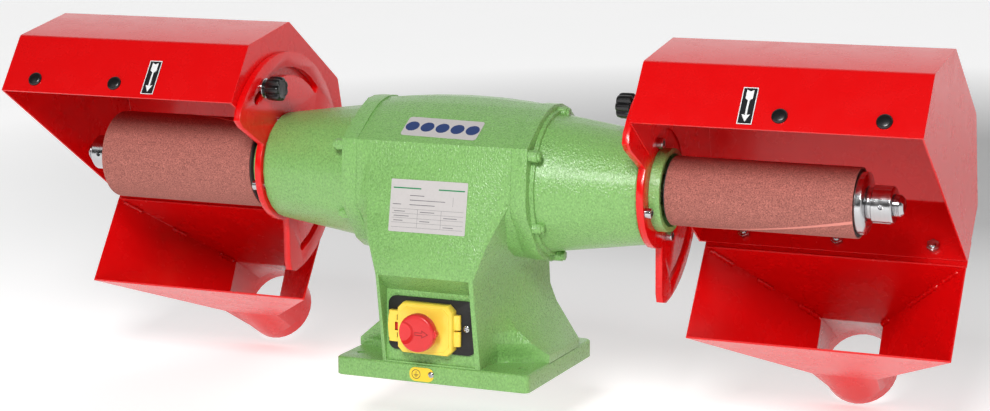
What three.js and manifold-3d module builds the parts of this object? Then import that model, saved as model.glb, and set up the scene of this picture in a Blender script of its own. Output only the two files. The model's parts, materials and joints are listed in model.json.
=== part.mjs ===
// Double-ended drum polishing machine: motor housing on a column, a long spindle with an abrasive
// drum at each end, and two swivelling extraction hoods with funnels. Millimetres, +Z up.
// Origin: underside of the base, straight below the middle of the spindle. Front is -Y.

import * as THREE from 'three';
import { mergeVertices } from 'three/addons/utils/BufferGeometryUtils.js';
import Module from 'manifold-3d';

// Fits shared by all pieces
const seat = 0.3;            // clearance between touching pieces
const overrun = 4;           // how far every cutting tool runs past the face it leaves
const sheet = 2;             // steel sheet of hoods and funnels

// Barrel of the motor housing
const barrelHalf = 91.5;
const barrelRadius = 85.5;
const barrelCrown = 6.5;
const barrelWall = 6.5;
const boreRadius = barrelRadius - barrelWall;
const bandWidth = 18;
const bandStep = 1.5;
const bandRadius = barrelRadius + bandStep;
const axisHeight = 216.5;    // spindle above the underside
const creaseRiseShare = 0.5614;
const creaseReach = barrelRadius;                  // front crease ahead of the spindle
const creaseRise = barrelRadius * creaseRiseShare; // front crease above the spindle
const ringBeyond = 4.5;
const ringReach = barrelRadius + ringBeyond;       // lower facet of the barrel ahead of the spindle

// Base and column
const baseHalfWidth = 115.6;
const baseFront = 95;
const baseBack = 99;
const baseHeight = 20.5;
const baseCorner = 7;
const baseEdge = 1.6;
const footHoleRadius = 5;
const footHoleSide = 17.6;   // from the base's side edges
const footHoleAhead = 28;    // from its front edge
const footHoleBehind = 26;   // from its rear edge
const footHoleX = baseHalfWidth - footHoleSide;
const footHoleFront = baseFront - footHoleAhead;
const footHoleBack = baseBack - footHoleBehind;
const browHeight = 121.5;    // lower edge of the leaning front face, above the underside
const browBeyond = 28;
const browReach = creaseReach + browBeyond;
const columnFootInset = 0.5;
const columnFootReach = baseFront - columnFootInset;
const faceSide = 18.5;
const faceHalf = barrelHalf - faceSide;            // flat part of the front face
const columnBackInset = 9.5;
const columnBack = barrelRadius - columnBackInset;
const castWall = 7;
const gasketHalfX = 51.6;    // half width of the switch's gasket
const recessSide = 1.9;      // free on each side of the gasket
const recessHalf = gasketHalfX + recessSide;
const faceWall = 5.06;
const faceFoot = recessHalf + faceWall;            // half width of the front face at its foot
const recessDepth = 21.5;
const recessPanelReach = browReach - recessDepth;
const recessDrop = 19.5;
const recessRoof = browHeight - recessDrop;        // top of the switch panel
const recessSill = 1.8;
const browLift = 0.9;
const browLip = 0.1;
const coverThickness = 3;
const coverSide = 25.6;
const coverEnd = 37;
const coverLedge = 8;
const coverHalfX = baseHalfWidth - coverSide;
const coverHalfY = (baseFront + baseBack) / 2 - coverEnd;
const coverCentreY = (baseBack - baseFront) / 2;
const cavityHalfX = coverHalfX - coverLedge;
const cavityHalfY = coverHalfY - coverLedge;
const cavityTopHalfX = 46;
const cavityTopFront = 56;
const cavityBackWall = 28;
const cavityTopBack = columnBack - cavityBackWall;

// End bells
const bellFlangeStep = 1;
const bellFlangeRadius = boreRadius + bellFlangeStep;
const bellFlangeWidth = 4.5;
const bellInset = 3;
const bellRadius = boreRadius - bellInset;
const spindleRadius = 20;
const spigotRadius = 45.5;
const plateScrewOut = 10;
const plateScrewCircle = spigotRadius + plateScrewOut;
const noseRim = 5;
const noseRadius = plateScrewCircle + noseRim;
const noseFace = 224.3;      // from mid machine to the face that carries the swivel plate
const noseEdge = 2.5;
const bellWall = 6;
const bearingSection = 20;
const bearingRadius = spindleRadius + bearingSection;
const bearingWidth = 18;
const lipReach = 19.2;       // spigot beyond the nose face
const lipWall = 5.5;
const lipBore = spigotRadius - lipWall;
const drumBoreGap = 6;
const drumBoreRadius = spindleRadius + drumBoreGap;
const bossRadius = 6.5;
const bossLength = 10;
const bossSides = 8;
const screwHeadRadius = 4.6;
const screwHeadHeight = 3.2;
// Each flange screw: its circle as a share of the bore, and its direction in degrees
const bossShares = [[0.975, 95], [1.114, 27], [0.975, -31], [1.013, -86], [0.975, -146], [0.975, 154]];

// Motor
const statorRoom = 32.5;     // stator inside the end of the barrel
const statorLength = 2 * (barrelHalf - statorRoom);
const rotorRadius = 50;
const airGap = 1;
const statorBore = rotorRadius + airGap;
const rotorBeyond = 2;
const rotorLength = statorLength + 2 * rotorBeyond;
const rotorSeatStep = 4;
const rotorSeatRadius = spindleRadius + rotorSeatStep;
const windingGap = 5;
const windingInner = statorBore + windingGap;
const windingCover = 6;
const windingOuter = boreRadius - windingCover;
const windingLength = 22;
const drumSeatRadius = 16;

// Swivel plates
const plateThickness = 7.8;
const plateRadius = 130;
const plateRingRim = 3.5;
const plateRing = noseRadius + plateRingRim;
const plateCutFrom = -92;    // degrees from straight ahead, upwards
const plateCutTo = 28.6;
const plateCorner = 14;
const slotInset = 22;
const slotCircle = plateRadius - slotInset;
const slotHalf = 5;
const slotPlay = 0.6;        // degrees
const studAngle = 62;
const swingDown = 12;
const swingUp = 70;
const guideAngle = -179;
const plateScrewAngle = 72;
const plateScrewCount = 4;
const capScrewRadius = 6;
const capScrewHeight = 7;
const capScrewShank = 3.8;
const capScrewDepth = 16;
const socketRadius = 3;
const socketDepth = 3.5;

// Hoods
const hoodBeyond = 88.1;     // outer end of the hood beyond the right drum
const hoodFront = 111;       // lower edge of the flap, ahead of the spindle
const hoodFlapRise = 86.5;
const hoodFlapY = 68.4;
const hoodFlapTop = 145.7;
const hoodRidgeY = 28.4;
const hoodTop = 162.1;
const hoodShoulderY = 148.7;
const hoodShoulder = 80.6;
const hoodBack = 175.5;
const hoodBackDrop = 23.7;
const hoodHeelY = 130.8;
const hoodLow = 79.3;
const notchGap = 2;
const hoodNotch = plateRing + notchGap;
const leftHoodTilt = 1.41;   // degrees
const plugHole = 7;
const plugHead = 8.4;
const plugRise = 3.4;
const plugUp = 16.2;         // along the flap from its lower edge
const plugNearShare = 0.5145;   // along the hood from its inner end
const plugPitchShare = 0.3501;

// Funnels under the hoods
const funnelStart = 7.9;     // from the inner end of the hood
const funnelLip = 26;        // strip of the funnel that lies under the hood
const funnelFrontY = 62.7;
const funnelFrontDrop = 176.4;
const throatHalf = 38.1;
const throatRearY = 226.8;
const throatRearDrop = 176;
const throatFrontY = 195.3;
const throatFrontDrop = 236.3;
const spoutRadius = 44;
const spoutY = 259.6;
const spoutDrop = 235.1;
const spoutLean = 31;        // degrees below level, looking along the spout
const spoutStraight = 18;
const funnelBoltUp = 14.5;   // from the hood's lower rear edge
const funnelBoltNearShare = 0.5194;
const funnelBoltPitchShare = 0.3517;
const funnelBelow = 4.2;     // mouth of the funnel below the hood's edge
const funnelBoltRadius = 4;
const boltHeadRadius = 7.5;

// Clamping knobs, studs and guide bolts
const studRadius = 4;
const knobRadius = 14;
const knobLength = 21.5;
const knobFlutes = 12;
const fluteDepth = 1.3;
const washerRadius = 11;
const washerThickness = 3.2;
const studInKnob = 14;
const nutAcross = 13;        // across flats of the M8 nuts and heads
const nutHeight = 6.5;
const funnelNutHeight = 5.5;
const boltEnd = 3;

// Drums, sleeves and clamping nuts
const rightSleeveRadius = 37.5;
const leftSleeveRadius = 50.8;
const sleeveWall = 1.5;
const sleeveGap = 1.5;       // between the spigot and the drum
const sleeveLength = 203.5;  // right drum
const leftSleeveShorter = 6.5;
const sleeveBack = 1.5;      // sleeve set back from the drum's inner end
const sleeveOver = 1;        // sleeve beyond the drum's outer end
const drumRecess = 6;
const hubWall = 9;
const drumRimShare = 0.5;    // from hub to rim of the recess
const flangeGap = 3;
const flangeRadius = rightSleeveRadius - sleeveWall - flangeGap;
const flangeRim = 8.5;
const flangeSlope = 2.5;
const flangeEdge = 0.8;
const neckLength = 3.8;
const neckStep = 3;
const nutRadius = 20;
const neckRadius = nutRadius - neckStep;
const nutLength = 22.1;
const nutEdge = 1.6;
const nutHole = 2.5;
const threadBeyond = 10;     // spindle tip beyond the nut
const threadRadius = 11;
const threadPitch = 3;

// Switch
const gasketRoom = 10.75;
const gasketHalfZ = (recessRoof - baseHeight) / 2 - gasketRoom;
const gasketTop = 6.5;       // below the roof of the recess
const gasketHeight = recessRoof - gasketTop - gasketHalfZ;
const gasketOffset = 1.5;
const gasketThickness = 3;
const gasketCorner = 9;
const boxInset = 2;
const boxHalfZ = gasketHalfZ - boxInset;
const boxHalfX = 29;
const boxDepth = 5;
const boxDrop = 2.3;         // middle of the switch below the middle of the gasket
const lidHeight = gasketHeight - boxDrop;
const lidOffset = -1.6;
const lidDepth = 12.5;
const lidWall = 2;
const lidMiddle = 4;         // raised middle of the lid, inside its edges
const lidCorner = 6.5;
const lidEdge = 2.2;
const lidRaise = 1.2;
const lugReach = 6.8;
const lugHalf = 8.1;
const lugMiddle = 9.1;
const lugThickness = 6;
const latchReach = 11.5;
const latchHalf = 17.2;
const latchDepth = 6.5;
const latchBar = 4.5;
const tabHalf = 4.5;
const tabDepth = 4.5;
const buttonHalfX = 7;
const buttonHalfZ = 8.5;
const buttonOffset = 10.5;
const buttonRise = 3.2;
const buttonTravel = 2.5;
const mushroomRadius = 21.1;
const mushroomCollar = 12;
const mushroomHeight = 18;
const mushroomNeck = 5.2;
const mushroomFlare = 3;
const mushroomRim = 5;
const mushroomFace = 0.72;   // share of the radius
const mushroomTravel = 4;
const scoopRadius = 9.5;
const scoopDepth = 3;
const scoopOut = 11.5;
const pointHalf = 4.5;
const pointReach = 2;
const plungerRadius = 3;
const gasketScrewX = 42.2;   // from the middle of the gasket
const gasketScrewShank = 3;
const gasketScrewHead = 4.2;
const gasketScrewRise = 2.2;

// Small pieces of the base
const earthX = 1;
const earthHeight = baseHeight / 2;
const earthHead = 3.6;
const earthRise = 2;
const glandHeight = 44;
const glandInset = 8;
const glandWall = columnBack - glandInset;         // face of the pad that carries the gland
const glandPad = 14;
const glandRadius = 11;
const glandReach = 20;
const glandBore = 5;
const terminalHalfX = 32;
const terminalHalfY = 11;
const terminalHeight = 22;

const degree = Math.PI / 180;
const fullTurn = 360;
const barrelWrap = 308;      // where the round back of the barrel meets its front facet, degrees
const roundSides = 24;
const middleSides = 20;
const smallSides = 8;

// Colours
function finish(color, roughness, metalness) {
  return new THREE.MeshStandardMaterial({ color, roughness, metalness });
}
const green = finish(0x7db469, 0.45, 0.1);
const red = finish(0xe01010, 0.3, 0.05);
const steel = finish(0xc8c8c8, 0.3, 0.9);
const darkSteel = finish(0x777777, 0.5, 0.8);
const grit = finish(0xa5605a, 0.95, 0);
const black = finish(0x151515, 0.45, 0);
const rubber = finish(0x202020, 0.8, 0);
const yellow = finish(0xfad746, 0.4, 0);
const stopRed = finish(0xe13750, 0.4, 0);
const startGreen = finish(0x2c9a4b, 0.4, 0);
const copper = finish(0xb0603a, 0.4, 0.8);

// Solids: joining, cutting and the way back to a geometry
const wasm = await Module();
wasm.setup();

function toSolid(geometry) {
  const bare = geometry.clone();
  bare.deleteAttribute('normal');
  bare.deleteAttribute('uv');
  const merged = mergeVertices(bare, 1e-5 * axisHeight / 2);
  return new wasm.Manifold(new wasm.Mesh({
    numProp: 3,
    vertProperties: new Float32Array(merged.attributes.position.array),
    triVerts: new Uint32Array(merged.index.array),
  }));
}

function toGeometry(manifold) {
  const mesh = manifold.getMesh();
  const geometry = new THREE.BufferGeometry();
  geometry.setAttribute('position', new THREE.BufferAttribute(new Float32Array(mesh.vertProperties), 3));
  geometry.setIndex(new THREE.BufferAttribute(new Uint32Array(mesh.triVerts), 1));
  geometry.computeVertexNormals();
  return geometry;
}

function join(...geometries) {
  return toGeometry(geometries.map(toSolid).reduce((a, b) => a.add(b)));
}

function cut(geometry, ...tools) {
  return toGeometry(tools.map(toSolid).reduce((a, b) => a.subtract(b), toSolid(geometry)));
}

function mirrored(geometry) {
  const bare = geometry.clone().deleteAttribute('normal').deleteAttribute('uv');
  const copy = mergeVertices(bare);
  copy.scale(-1, 1, 1);
  const index = copy.index.array;
  for (let i = 0; i < index.length; i += 3) {
    [index[i + 1], index[i + 2]] = [index[i + 2], index[i + 1]];
  }
  copy.computeVertexNormals();
  return copy;
}

// Closed body through rings of points; wrap joins the last ring to the first instead of capping
function loft(rings, wrap = false) {
  const sides = rings[0].length;
  const points = rings.flat();
  const index = [];
  const last = wrap ? rings.length : rings.length - 1;
  for (let r = 0; r < last; r++) {
    const next = (r + 1) % rings.length;
    for (let i = 0; i < sides; i++) {
      const j = (i + 1) % sides;
      const [a, b, c, d] = [r * sides + i, r * sides + j, next * sides + j, next * sides + i];
      index.push(a, b, c, a, c, d);
    }
  }
  if (!wrap) {
    for (const [ring, turn] of [[0, 1], [rings.length - 1, -1]]) {
      const centre = new THREE.Vector3();
      rings[ring].forEach((p) => centre.addScaledVector(p, 1 / sides));
      const hub = points.push(centre) - 1;
      for (let i = 0; i < sides; i++) {
        const [a, b] = [ring * sides + i, ring * sides + (i + 1) % sides];
        index.push(...(turn > 0 ? [hub, b, a] : [hub, a, b]));
      }
    }
  }
  let volume = 0;
  for (let i = 0; i < index.length; i += 3) {
    const [a, b, c] = [points[index[i]], points[index[i + 1]], points[index[i + 2]]];
    volume += a.dot(b.clone().cross(c));
  }
  if (volume < 0) {
    index.reverse();
  }
  const geometry = new THREE.BufferGeometry().setFromPoints(points);
  geometry.setIndex(index);
  geometry.computeVertexNormals();
  return geometry;
}

// Outline in the YZ plane, drawn as [y, z], pushed along X
const alongX = new THREE.Matrix4().makeBasis(
  new THREE.Vector3(0, 1, 0), new THREE.Vector3(0, 0, 1), new THREE.Vector3(1, 0, 0));
// Outline in the XZ plane, drawn as [x, z], pushed along -Y
const alongFront = new THREE.Matrix4().makeBasis(
  new THREE.Vector3(1, 0, 0), new THREE.Vector3(0, 0, 1), new THREE.Vector3(0, -1, 0));

function outline(points) {
  return new THREE.Shape(points.map(([u, v]) => new THREE.Vector2(u, v)));
}

function pushed(shape, depth, basis, curveSegments = 6) {
  const geometry = new THREE.ExtrudeGeometry(shape, { depth, bevelEnabled: false, curveSegments });
  return basis ? geometry.applyMatrix4(basis) : geometry;
}

function prismX(points, from, to) {
  return pushed(outline(points), to - from, alongX).translate(from, 0, 0);
}

function blockBetween([x0, y0, z0], [x1, y1, z1]) {
  return new THREE.BoxGeometry(x1 - x0, y1 - y0, z1 - z0)
    .translate((x0 + x1) / 2, (y0 + y1) / 2, (z0 + z1) / 2);
}

// Turned bodies: profile as [radius, place along the axis]
function turned(profile, sides = roundSides) {
  return new THREE.LatheGeometry(profile.map(([r, h]) => new THREE.Vector2(r, h)), sides);
}
function turnedX(profile, sides) {
  return turned(profile, sides).rotateZ(-Math.PI / 2);
}
function turnedFront(profile, sides) {
  return turned(profile, sides).rotateX(Math.PI);
}
function turnedZ(profile, sides) {
  return turned(profile, sides).rotateX(Math.PI / 2);
}

function rod(radius, from, to, sides = smallSides) {
  return [[0, from], [radius, from], [radius, to], [0, to]];
}
function rodX(radius, from, to, sides = smallSides) {
  return turnedX(rod(radius, from, to), sides);
}
function pipe(inner, outer, from, to) {
  return [[inner, from], [outer, from], [outer, to], [inner, to], [inner, from]];
}

function hexX(across, from, to) {
  return turnedX(rod(across / Math.sqrt(3), from, to), 6);
}

// A point on a circle round the spindle; the angle is 0 straight ahead and 90 straight up
function around(radius, angle) {
  return [-radius * Math.cos(angle * degree), radius * Math.sin(angle * degree)];
}

function arcPoints(radius, from, to, steps) {
  return Array.from({ length: steps + 1 }, (_, i) => around(radius, from + (to - from) * i / steps));
}

function lerp(a, b, t) {
  return a + (b - a) * t;
}

// Column: level sections between the base and the front crease.
// Each row: height share, half width of the front face, which follows the switch's recess at the foot
// and the barrel's length at the top,
// then the ridge and the rear edge of the side wall as shares of the widths and depths that they follow,
// the back, and how sharply the side wall sweeps out to the ridge.
// Widths follow the base at the foot and the front face from the brow upwards.
const columnShares = [
  [0.000, 0.640, 1.0000, 0.347, 1.0000, 0.586, 0.78, 6.0],
  [0.036, 0.640, 1.0185, 0.347, 1.0185, 0.586, 0.78, 6.0],
  [0.062, 0.639, 0.9600, 0.400, 0.9961, 0.582, 0.79, 5.0],
  [0.092, 0.638, 0.8913, 0.440, 0.9699, 0.578, 0.81, 4.0],
  [0.148, 0.637, 0.7672, 0.455, 0.9185, 0.570, 0.86, 2.6],
  [0.209, 0.635, 0.6706, 0.430, 0.8606, 0.560, 0.92, 1.8],
  [0.291, 0.633, 0.6620, 0.380, 0.8261, 0.550, 0.98, 1.3],
  [0.377, 0.631, 0.7036, 0.320, 0.8616, 0.540, 1.00, 1.0],
  [0.414, 0.631, 0.7328, 0.320, 0.8844, 0.530, 1.00, 1.0],
  [0.490, 0.700, 0.8086, 0.330, 0.8970, 0.520, 0.99, 1.0],
  [0.561, 0.765, 0.8717, 0.340, 0.9160, 0.500, 0.96, 1.0],
  [0.680, 0.900, 0.9728, 0.360, 0.9539, 0.480, 0.90, 1.0],
  [0.754, 0.995, 0.9854, 0.400, 0.9728, 0.460, 0.84, 1.0],
  [1.000, 0.995, 0.9854, 0.400, 0.9728, 0.420, 0.60, 1.0],
];
const columnHeight = axisHeight + creaseRise - baseHeight;
const browShare = (browHeight - baseHeight) / columnHeight;
const [footShare, topShare] = [columnShares[0][1], columnShares[columnShares.length - 1][1]];

function columnSection(row) {
  const [level, face, ridgeX, ridgeY, rearX, rearY, backShare, sweep] = row;
  const z = baseHeight + level * columnHeight;
  const lower = level <= browShare;
  const front = -(lower
    ? lerp(columnFootReach, browReach, level / browShare)
    : lerp(browReach, creaseReach, (level - browShare) / (1 - browShare)));
  const spread = Math.min(Math.max((face - footShare) / (topShare - footShare), 0), 1);
  const wide = lerp(faceFoot / footShare, barrelHalf, spread);
  const corner = face * wide;
  const flat = Math.min(corner - castWall / 2, faceHalf);
  const facet = -lerp(ringReach, creaseReach, Math.max(0, (level - browShare) / (1 - browShare)));
  const swept = corner > faceHalf ? lerp(front, facet, (corner - faceHalf) / (barrelHalf - faceHalf))
    : front + castWall / 4;
  const reach = lerp(baseHalfWidth, wide, Math.min(1, level / browShare));
  const ridge = [ridgeX * reach, -ridgeY * baseFront];
  const rear = [rearX * reach, rearY * baseBack];
  const back = backShare * columnBack;
  const half = [[flat, front], [corner, swept]];
  for (const t of [0.35, 0.65, 0.88]) {
    half.push([corner + (ridge[0] - corner) * Math.pow(t, sweep), lerp(swept, ridge[1], t)]);
  }
  half.push(ridge, [lerp(ridge[0], rear[0], 0.5), lerp(ridge[1], rear[1], 0.5)], rear);
  const inner = [Math.min(rear[0], corner) * 0.8, back];
  for (const t of [0.12, 0.4, 0.72]) {
    half.push([rear[0] + (inner[0] - rear[0]) * (1 - Math.pow(1 - t, sweep)), lerp(rear[1], back, t)]);
  }
  half.push(inner);
  const right = half.map(([x, y]) => new THREE.Vector3(x, y, z));
  const left = half.map(([x, y]) => new THREE.Vector3(-x, y, z)).reverse();
  return [...right, ...left];
}

function roundedPlate(front, back, half, corner) {
  const shape = new THREE.Shape();
  shape.moveTo(-half + corner, -front);
  shape.lineTo(half - corner, -front);
  shape.absarc(half - corner, -front + corner, corner, -Math.PI / 2, 0);
  shape.lineTo(half, back - corner);
  shape.absarc(half - corner, back - corner, corner, 0, Math.PI / 2);
  shape.lineTo(-half + corner, back);
  shape.absarc(-half + corner, back - corner, corner, Math.PI / 2, Math.PI);
  shape.lineTo(-half, -front + corner);
  shape.absarc(-half + corner, -front + corner, corner, Math.PI, Math.PI * 1.5);
  return shape;
}

function basePlate() {
  const ring = (inset, z) => roundedPlate(baseFront - inset, baseBack - inset, baseHalfWidth - inset,
    baseCorner).getPoints(4).slice(0, -1).map((p) => new THREE.Vector3(p.x, p.y, z));
  return loft([ring(baseEdge / 2, 0), ring(0, baseEdge / 2), ring(0, baseHeight - baseEdge),
    ring(baseEdge, baseHeight)]);
}

// Barrel outline across the spindle: round at the top, back and bottom, creased at the front
function barrelOutline(radius, crown) {
  const reach = Math.hypot(creaseReach, creaseRise);
  const tangent = Math.atan2(creaseRise, creaseReach) / degree + Math.acos(radius / reach) / degree;
  const points = [[-creaseReach, creaseRise]];
  const steps = 17;
  for (let i = 0; i <= steps; i++) {
    const angle = lerp(tangent, barrelWrap, i / steps);
    const lift = Math.sin(Math.min(Math.max((angle - tangent) / (fullTurn / 2 - tangent), 0), 1) * Math.PI);
    points.push(around(radius + crown * lift, angle));
  }
  points.push([-ringReach * 0.955, -creaseRise * 0.56], [-ringReach, -creaseRise * 0.25]);
  return points;
}

function barrel() {
  const stations = [-1, -0.75, -0.4, 0, 0.4, 0.75, 1];
  return loft(stations.map((s) => barrelOutline(barrelRadius, barrelCrown * (1 - s * s))
    .map(([y, z]) => new THREE.Vector3(s * barrelHalf, y, axisHeight + z))));
}

function cavity() {
  const ring = (halfX, front, back, z) => [[-halfX, -front], [halfX, -front], [halfX, back], [-halfX, back]]
    .map(([x, y]) => new THREE.Vector3(x, y, z));
  return [
    blockBetween([-cavityHalfX, coverCentreY - cavityHalfY, -overrun],
      [cavityHalfX, coverCentreY + cavityHalfY, baseHeight / 2]),
    loft([ring(cavityTopHalfX, cavityTopFront, cavityTopBack, 0),
      ring(cavityTopHalfX, cavityTopFront, cavityTopBack, axisHeight - boreRadius / 2)]),
  ];
}

function recess() {
  return prismX([
    [-browReach - overrun, browHeight + overrun * browLift],
    [-browReach + castWall * browLip, browHeight - castWall * browLip],
    [-recessPanelReach, recessRoof],
    [-recessPanelReach, baseHeight + recessSill],
    [-browReach - overrun, baseHeight + recessSill],
  ], -recessHalf, recessHalf);
}

function motorHousing() {
  const column = loft(columnShares.map(columnSection));
  const bore = turnedX(rod(boreRadius, -barrelHalf - overrun, barrelHalf + overrun), roundSides)
    .translate(0, 0, axisHeight);
  const coverSeat = blockBetween([-coverHalfX - seat, coverCentreY - coverHalfY - seat, -overrun],
    [coverHalfX + seat, coverCentreY + coverHalfY + seat, coverThickness + seat]);
  const holes = [-1, 1].flatMap((side) => [-footHoleFront, footHoleBack].map((y) =>
    turnedZ(rod(footHoleRadius, -overrun, baseHeight + overrun), smallSides).translate(side * footHoleX, y, 0)));
  const glandHole = turnedFront(rod(glandRadius * 0.62, -baseBack - overrun, -cavityTopBack + overrun), smallSides)
    .translate(0, 0, glandHeight);
  const pad = turned(rod(glandPad, cavityTopBack + overrun, glandWall), middleSides).translate(0, 0, glandHeight);
  return cut(join(basePlate(), column, barrel(), pad), bore, ...cavity(), recess(), coverSeat, glandHole, ...holes);
}

// Bottom cover: closes the base from below, flush with its underside
function bottomCover() {
  return blockBetween([-coverHalfX, coverCentreY - coverHalfY, 0],
    [coverHalfX, coverCentreY + coverHalfY, coverThickness]);
}

function lifted(geometry) {
  return geometry.translate(0, 0, axisHeight);
}

// End bell: creased band, screw flange, tapering bell and the spigot that carries the swivel plate
const bandStart = barrelHalf + seat;
const bellStart = barrelHalf + bandWidth;
const bellBody = bellStart + bellFlangeWidth;
const bearingEnd = noseFace - capScrewDepth + plateThickness - overrun / 2;
const bearingStart = bearingEnd - bearingWidth;

function endBell() {
  const body = turnedX([[0, barrelHalf - bellWall], [boreRadius - seat, barrelHalf - bellWall],
    [boreRadius - seat, bellStart], [bellFlangeRadius, bellStart], [bellFlangeRadius, bellBody],
    [bellRadius, bellBody], [noseRadius, noseFace - noseEdge], [noseRadius - noseEdge, noseFace],
    [spigotRadius, noseFace], [spigotRadius, noseFace + lipReach], [0, noseFace + lipReach]], roundSides);
  const band = loft([bandStart, bellStart].map((x) => barrelOutline(bandRadius, 0)
    .map(([y, z]) => new THREE.Vector3(x, y, z))));
  const hollow = turnedX([[0, barrelHalf - bellWall - overrun], [bellRadius - bellWall, barrelHalf - bellWall - overrun],
    [bellRadius - bellWall, bellBody], [noseRadius - bellWall, bearingStart - overrun],
    [bearingRadius + 2 * seat, bearingStart - overrun], [bearingRadius + 2 * seat, bearingEnd + seat],
    [drumBoreRadius, bearingEnd + seat], [drumBoreRadius, noseFace], [lipBore, noseFace],
    [lipBore, noseFace + lipReach + overrun], [0, noseFace + lipReach + overrun]], roundSides);
  const bosses = bossShares.flatMap(([share, angle]) => {
    const [y, z] = around(share * boreRadius, angle);
    return [rodX(bossRadius, bellStart - overrun, bellStart + bossLength, bossSides).translate(0, y, z),
      hexX(2 * screwHeadRadius, bellStart, bellStart + bossLength + screwHeadHeight).translate(0, y, z)];
  });
  const screwHoles = plateScrewSpots().map(([y, z]) =>
    rodX(capScrewShank + seat, noseFace - capScrewDepth, noseFace + overrun).translate(0, y, z));
  return lifted(cut(join(body, band, ...bosses), hollow, ...screwHoles));
}

function plateScrewSpots() {
  return Array.from({ length: plateScrewCount }, (_, i) =>
    around(plateScrewCircle, plateScrewAngle + i * fullTurn / plateScrewCount));
}

// Swivel plate: a disc cut back to a ring at the lower front, with two arc slots for the hood
function arcSlot(from, to) {
  const path = new THREE.Path();
  const start = Math.PI - to * degree;
  const end = Math.PI - from * degree;
  path.absarc(0, 0, slotCircle + slotHalf, start, end, false);
  const [ey, ez] = [slotCircle * Math.cos(end), slotCircle * Math.sin(end)];
  path.absarc(ey, ez, slotHalf, end, end + Math.PI, false);
  path.absarc(0, 0, slotCircle - slotHalf, end, start, true);
  const [sy, sz] = [slotCircle * Math.cos(start), slotCircle * Math.sin(start)];
  path.absarc(sy, sz, slotHalf, start + Math.PI, start + Math.PI * 2, false);
  return path;
}

function roundHole(y, z, radius, sides) {
  return new THREE.Path(Array.from({ length: sides }, (_, i) => {
    const t = i / sides * Math.PI * 2;
    return new THREE.Vector2(y + radius * Math.cos(t), z + radius * Math.sin(t));
  }));
}

function swivelPlate() {
  const points = [];
  const lip = plateCorner / plateRadius / degree;
  points.push(...arcPoints(plateRing, plateCutFrom, plateCutTo, 10));
  points.push(around(plateRadius - plateCorner, plateCutTo), around(plateRadius - plateCorner / 4, plateCutTo + lip / 4));
  points.push(...arcPoints(plateRadius, plateCutTo + lip, fullTurn + plateCutFrom - lip, 28));
  points.push(around(plateRadius - plateCorner / 4, plateCutFrom - lip / 4),
    around(plateRadius - plateCorner, plateCutFrom));
  const shape = outline(points);
  shape.holes.push(arcSlot(studAngle - swingDown - slotPlay, studAngle + swingUp + slotPlay));
  shape.holes.push(arcSlot(guideAngle - swingDown - slotPlay, guideAngle + swingUp + slotPlay));
  shape.holes.push(roundHole(0, 0, spigotRadius + seat, roundSides));
  for (const [y, z] of plateScrewSpots()) {
    shape.holes.push(roundHole(y, z, capScrewShank + seat, smallSides));
  }
  return lifted(pushed(shape, plateThickness, alongX, 4).translate(noseFace, 0, 0));
}

const plateFace = noseFace + plateThickness;

function plateScrew([y, z]) {
  const screw = turnedX([[0, plateFace - capScrewDepth], [capScrewShank, plateFace - capScrewDepth],
    [capScrewShank, plateFace], [capScrewRadius, plateFace], [capScrewRadius, plateFace + capScrewHeight - seat],
    [capScrewRadius - seat, plateFace + capScrewHeight], [0, plateFace + capScrewHeight]], smallSides);
  const socket = hexX(2 * socketRadius, plateFace + capScrewHeight - socketDepth, plateFace + capScrewHeight + overrun);
  return lifted(cut(screw, socket).translate(0, y, z));
}

// Spindle, rotor, stator and bearings
function spindleShaft() {
  const [rightTip, leftTip] = [sleeveEnd, leftSleeveEnd].map((end) => nutStart(end) + nutLength + threadBeyond);
  const right = [[spindleRadius, rotorLength / 2], [spindleRadius, bearingEnd], [drumSeatRadius, bearingEnd],
    [drumSeatRadius, sleeveEnd], [threadRadius, sleeveEnd], [threadRadius, rightTip - threadPitch],
    [threadRadius - threadPitch, rightTip], [0, rightTip]];
  const left = [[0, -leftTip], [threadRadius - threadPitch, -leftTip], [threadRadius, -leftTip + threadPitch],
    [threadRadius, -leftSleeveEnd], [drumSeatRadius, -leftSleeveEnd], [drumSeatRadius, -bearingEnd],
    [spindleRadius, -bearingEnd], [spindleRadius, -rotorLength / 2]];
  return lifted(turnedX([...left, [rotorSeatRadius, -rotorLength / 2], [rotorSeatRadius, rotorLength / 2],
    ...right], middleSides));
}

function rotorCore() {
  return lifted(turnedX(pipe(rotorSeatRadius, rotorRadius, -rotorLength / 2, rotorLength / 2), middleSides));
}

function statorCore() {
  const end = statorLength / 2;
  const head = end + windingLength;
  return lifted(turnedX([[statorBore, -end], [windingInner, -end], [windingInner, -head], [windingOuter, -head],
    [windingOuter, -end], [boreRadius, -end], [boreRadius, end], [windingOuter, end],
    [windingOuter, head], [windingInner, head], [windingInner, end], [statorBore, end], [statorBore, -end]], roundSides));
}

function bearing() {
  return lifted(turnedX(pipe(spindleRadius + seat, bearingRadius, bearingStart, bearingEnd), middleSides));
}

// Drum with recessed ends, its abrasive sleeve, the clamping flange and the nut
const sleeveStart = noseFace + lipReach + sleeveGap;
const sleeveEnd = sleeveStart + sleeveLength;
const leftSleeveEnd = sleeveEnd - leftSleeveShorter;

function drum(radius, start, end) {
  const outer = radius - sleeveWall;
  const hub = drumSeatRadius + hubWall;
  const rim = lerp(hub, outer, drumRimShare);
  return lifted(turnedX([[drumSeatRadius + seat, start], [hub, start], [hub, start + drumRecess],
    [rim, start + drumRecess], [rim, start], [outer, start], [outer, end], [drumSeatRadius + seat, end],
    [drumSeatRadius + seat, start]], roundSides));
}

function sleeve(radius, start, end) {
  return lifted(turnedX(pipe(radius - sleeveWall, radius, start + sleeveBack, end + sleeveOver), roundSides));
}

function nutStart(end) {
  return end + flangeRim + flangeSlope + neckLength;
}

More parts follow.
